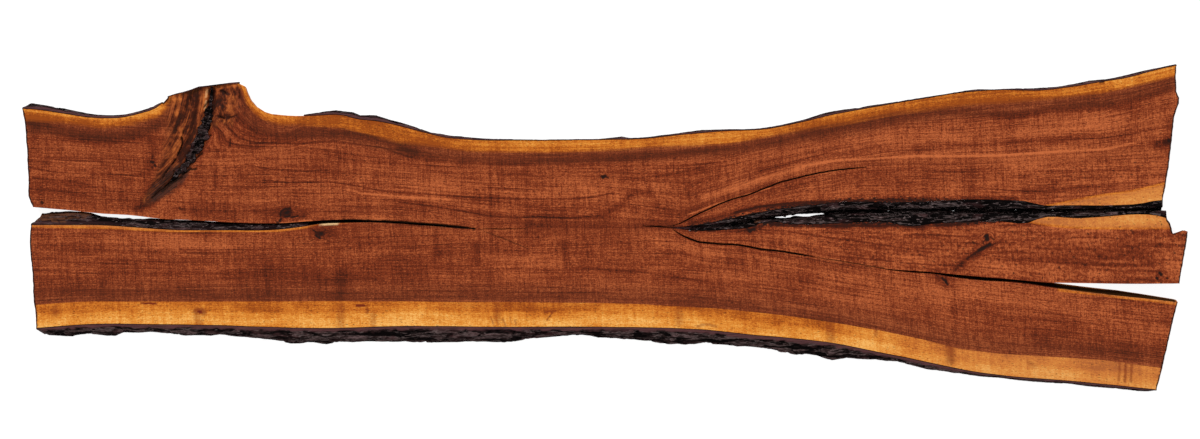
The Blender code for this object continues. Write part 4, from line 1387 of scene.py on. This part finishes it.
def colour_wood(mesh, points, top_loop, wall_count):
    """Everything that the walnut material reads from the mesh."""
    spots = points[:, :2]
    along, side = ravine_place(spots)
    on_tip = fade(side, 0.0, 20.0)
    torn_grain = [along * (1.0 + 3.0 * on_tip), side * (1.0 - 0.55 * on_tip), points[:, 2]]
    front, back, other, gold = sap_fields(spots)
    facing = np.abs(vertex_normals(mesh))
    is_end = fade(facing[:, 0], 0.30, 0.55)
    is_wall = np.arange(len(points)) < wall_count
    is_wall[top_loop] = False
    outline = points[top_loop][:, :2]
    rim = np.zeros(len(points))
    rim[top_loop] = fade(np.abs(sideways(outline)[:, 0]), 0.4, 0.7) * (np.abs(outline[:, 0]) > END_ZONE)
    add_attributes(mesh, {
        "grain": grain_field(points), "torn_grain": np.stack(torn_grain, axis=1),
        "torn_tone": soft_strokes(spots, TORN_SEEN),
        "front_sap": front, "back_sap": back, "other_sap": other, "gold": gold,
        "fork_end": fade(spots[:, 0], *FORK_END),
        "crack": crack_shade_shares(spots) * (points[:, 2] > THICKNESS - CRACK_BOTTOM),
        "rim": rim,
        "end": is_wall * is_end * fade(facing[:, 2], 0.7, 0.5),
        # painted shade on the walls that are not cut ends
        "wall_shade": is_wall * (1.0 - is_end) * fade(points[:, 2], 0.0, 4.0),
    })
    on_top = {
        "torn": torn_mask(along, side), "splinter": splinter_mask(along, side),
        "fork_lip": fork_lips(spots), "tone_and_shade": wood_tones_and_shade(spots),
        "stain": sharp_strokes(spots, STAINS_SEEN), "pale_and_lit": sharp_strokes(spots, PALE_AND_LIT_SEEN),
        "mark": sharp_strokes(spots, MARKS_SEEN),
    }
    is_top = points[:, 2] > THICKNESS * 0.25
    add_attributes(mesh, {name: values * is_top for name, values in on_top.items()})


def colour_bark(piece, points, gap, ridge_lighting, shade_table):
    """Everything that the bark material reads from the mesh."""
    add_attributes(piece.data, {
        "ridge_lighting": ridge_lighting, "gap": gap, "opening_shade": read_table(shade_table, points[:, 0]),
        "sawn": fade(points[:, 2], THICKNESS - 5.0, THICKNESS - 2.0),
        "fibre": sharp_strokes(points[:, :2], FIBRE_SEEN),
    })
    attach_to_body(piece, "root")


def fine_bark(node, cuts, finish):
    """A bark strip with plates and furrows cut into its outer side, in the CAD solid's place."""
    shape = open_solid(node)
    points, faces = cut_finer(shape, cuts)
    shape.free()
    foot, gap = nearest_wood(points)
    away = (points - foot) / np.maximum(gap, 0.1)[:, None]
    furrow = 1.0 - fade(np.abs(relief(points, BARK_PLATES)), 0.0, BARK_FURROW)
    grit = 0.5 + relief(points, BARK_GRIT)
    side_cut, top_cut = [
        least + in_furrow * furrow + by_grit * grit
        for least, in_furrow, by_grit in (BARK_SIDE_CUT, BARK_TOP_CUT)
    ]
    depth = np.minimum(side_cut, gap * BARK_SHARE_CUT)
    depth = np.where(gap < BARK_NEAR_WOOD[0], gap - BARK_SEAM, depth * fade(gap, *BARK_NEAR_WOOD))
    carved = points - away * depth[:, None]
    sunk = top_cut * fade(gap, *BARK_NEAR_TOP) * (points[:, 2] > THICKNESS - 1.0)
    carved[:, 2] = np.clip(carved[:, 2] - sunk, 0.1, THICKNESS - 0.05)
    piece = link_object(node.replace("bark_", "fine_bark_"), carved, faces, finish)
    colour_bark(piece, carved, gap, 1.0 - furrow, BARK_OPENING_SHADE.get(node, UNSHADED_BARK))
    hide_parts(node)


def lumpy_strip(name, tops, bottoms, finish):
    """A closed strip between a grid of top points and a grid of bottom points."""
    rows, columns = tops.shape[:2]
    half = rows * columns
    points = np.concatenate([tops.reshape(-1, 3), bottoms.reshape(-1, 3)])
    index = np.arange(half).reshape(rows, columns)
    faces = []
    for a in index[:-1, :-1].ravel().tolist():
        b, c, d = a + 1, a + columns + 1, a + columns
        faces += [(a, b, c), (a, c, d), (half + a, half + c, half + b), (half + a, half + d, half + c)]
    first, last = index[:, 0].tolist(), index[:, -1].tolist()
    sides = [*zip(first[:-1], first[1:]), *zip(last[1:], last[:-1])]
    for row in (index[0].tolist(), index[-1].tolist()):
        sides += zip(row[:-1], row[1:])
    for a, b in sides:
        faces += [(a, b, half + b), (a, half + b, half + a)]
    piece = link_object(name, points, faces, finish)
    turn_outwards(piece.data)
    gap = np.maximum(nearest_wood(points)[1], 3.0)
    colour_bark(piece, points, gap, 0.5 + relief(points, CRUMB_LIGHTING), HALF_SHADED_BARK)
    return piece


def ravine_bark(finish):
    """Black lumpy bark folded into the ravine, of uneven width."""
    path = walk(RAVINE_PATH, 3.0)
    marks = marks_along(path)
    keep = (marks > RAVINE_BARK_WIDTH[0][0]) & (marks < RAVINE_BARK_WIDTH[-1][0])
    left = sideways(path)[keep]
    path, marks = path[keep], marks[keep]
    width = read_table(RAVINE_BARK_WIDTH, marks)
    place = np.stack([marks, np.zeros(len(marks))], axis=1)
    edges = []
    for side, layer in ((-1.0, 2.0), (1.0, 5.0)):
        jagged = relief(place, ((0.9, (16.0, 7.0), layer), (0.6, (6.5, 7.0), layer)))
        edges.append(side * width * (1.0 + jagged))
    shares = np.linspace(-1.0, 1.0, 11)
    across = edges[0][:, None] + (shares + 1.0) / 2.0 * (edges[1] - edges[0])[:, None]
    spots = path[:, None, :] + across[:, :, None] * left[:, None, :]
    bed = surface_heights(spots.reshape(-1, 2)).reshape(across.shape)
    place = np.stack([np.repeat(marks, len(shares)), across.ravel()], axis=1)
    lumps = relief(place, RAVINE_LUMPS).reshape(across.shape)
    rise = read_table(RAVINE_BARK_RISE, marks)[:, None] * (1.0 + lumps) + 1.0
    rise *= np.sqrt(np.clip(1.06 - shares**2, 0.0, 1.0))[None, :]
    tops = np.dstack([spots, np.minimum(bed + rise, THICKNESS - 0.5)])
    piece = lumpy_strip("ravine_bark", tops, np.dstack([spots, bed - 3.0]), finish)
    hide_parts("bark_inclusion")


def fork_filling(finish):
    """Bark crumbs low in the fork, which leave only the openings that the photograph shows."""
    opening = from_photo([row[:2] for row in FORK_OPENING_SEEN])
    half_widths = [row[2] for row in FORK_OPENING_SEEN]
    x = np.arange(*FORK_FILLING_SPAN, 3.0)
    back = read_table(GRAIN_FORK_BACK, x) + FORK_FILLING_LAP
    front = read_table(GRAIN_FORK_FRONT, x) - FORK_FILLING_LAP
    start, end = opening[0, 0], opening[-1, 0]
    blend = fade(x, start - FORK_OPENING_BLEND, start) * fade(x, end + FORK_OPENING_BLEND, end)
    middle = (back + front) / 2.0 * (1.0 - blend) + np.interp(x, *opening.T) * blend
    half = np.interp(x, opening[:, 0], half_widths)
    shares = np.linspace(0.0, 1.0, 9)
    place = np.stack([x, np.zeros(len(x))], axis=1)
    for name, outer, side in (("fork_crumbs_back", back, 1.0), ("fork_crumbs_front", front, -1.0)):
        ragged = 0.8 * noise_at(place, (6.0, 6.0), 3.0 + side) * (half > 0.3)
        inner = middle + side * (half + ragged - 0.4 * (half < 0.3))
        y = inner[:, None] + shares[None, :] * (outer - inner)[:, None]
        along = np.repeat(x, len(shares)).reshape(y.shape)
        lumps = relief(np.stack([along.ravel(), y.ravel()], axis=1), CRUMB_LUMPS)
        tops = read_table(FORK_FILLING_TOP, x)[:, None] + 4.0 * lumps.reshape(y.shape)
        tops -= FORK_OPENING_SLOPE * (1.0 - shares[None, :]) * blend[:, None]
        tops = np.minimum(tops, THICKNESS - 1.0)
        bottoms = np.dstack([along, y, np.full_like(y, FORK_FILLING_BOTTOM)])
        lumpy_strip(name, np.dstack([along, y, tops]), bottoms, finish)


def floor(finish):
    mesh = bpy.data.meshes.new("floor")
    half = FLOOR_HALF * METRES
    corners = [(-half, -half, 0.0), (half, -half, 0.0), (half, half, 0.0), (-half, half, 0.0)]
    mesh.from_pydata(corners, [], [(0, 1, 2, 3)])
    mesh.materials.append(finish)
    made = bpy.data.objects.new("floor", mesh)
    made.location.z = -FLOOR_DROP * METRES
    bpy.context.collection.objects.link(made)


def camera():
    data = bpy.data.cameras.new("camera")
    data.lens = LENS
    data.sensor_width = SENSOR
    data.sensor_fit = "HORIZONTAL"
    data.clip_end = 200.0
    made = bpy.data.objects.new("camera", data)
    distance = PHOTO_WIDTH * LENS / SENSOR
    made.location = Vector((*PHOTO_CENTRE, THICKNESS + distance)) * METRES
    bpy.context.collection.objects.link(made)
    bpy.context.scene.camera = made


def lights():
    world = bpy.data.worlds.new("studio")
    world.use_nodes = True
    sky = world.node_tree.nodes["Background"]
    sky.inputs["Color"].default_value = (*WHITE, 1.0)
    sky.inputs["Strength"].default_value = SKY_STRENGTH
    bpy.context.scene.world = world
    data = bpy.data.lights.new("key", "SUN")
    data.energy = SUN_STRENGTH
    data.angle = np.radians(SUN_WIDTH)
    key = bpy.data.objects.new("key", data)
    key.rotation_euler = (*np.radians(SUN_TILT), 0.0)
    bpy.context.collection.objects.link(key)
    bpy.context.scene.view_settings.view_transform = "Standard"


def build():
    camera()
    lights()
    floor(floor_material())
    walnut_slab(walnut_material())
    bark = bark_material()
    for node, cuts in BARK_CUTS.items():
        fine_bark(node, cuts, bark)
    ravine_bark(bark)
    fork_filling(bark)


build()
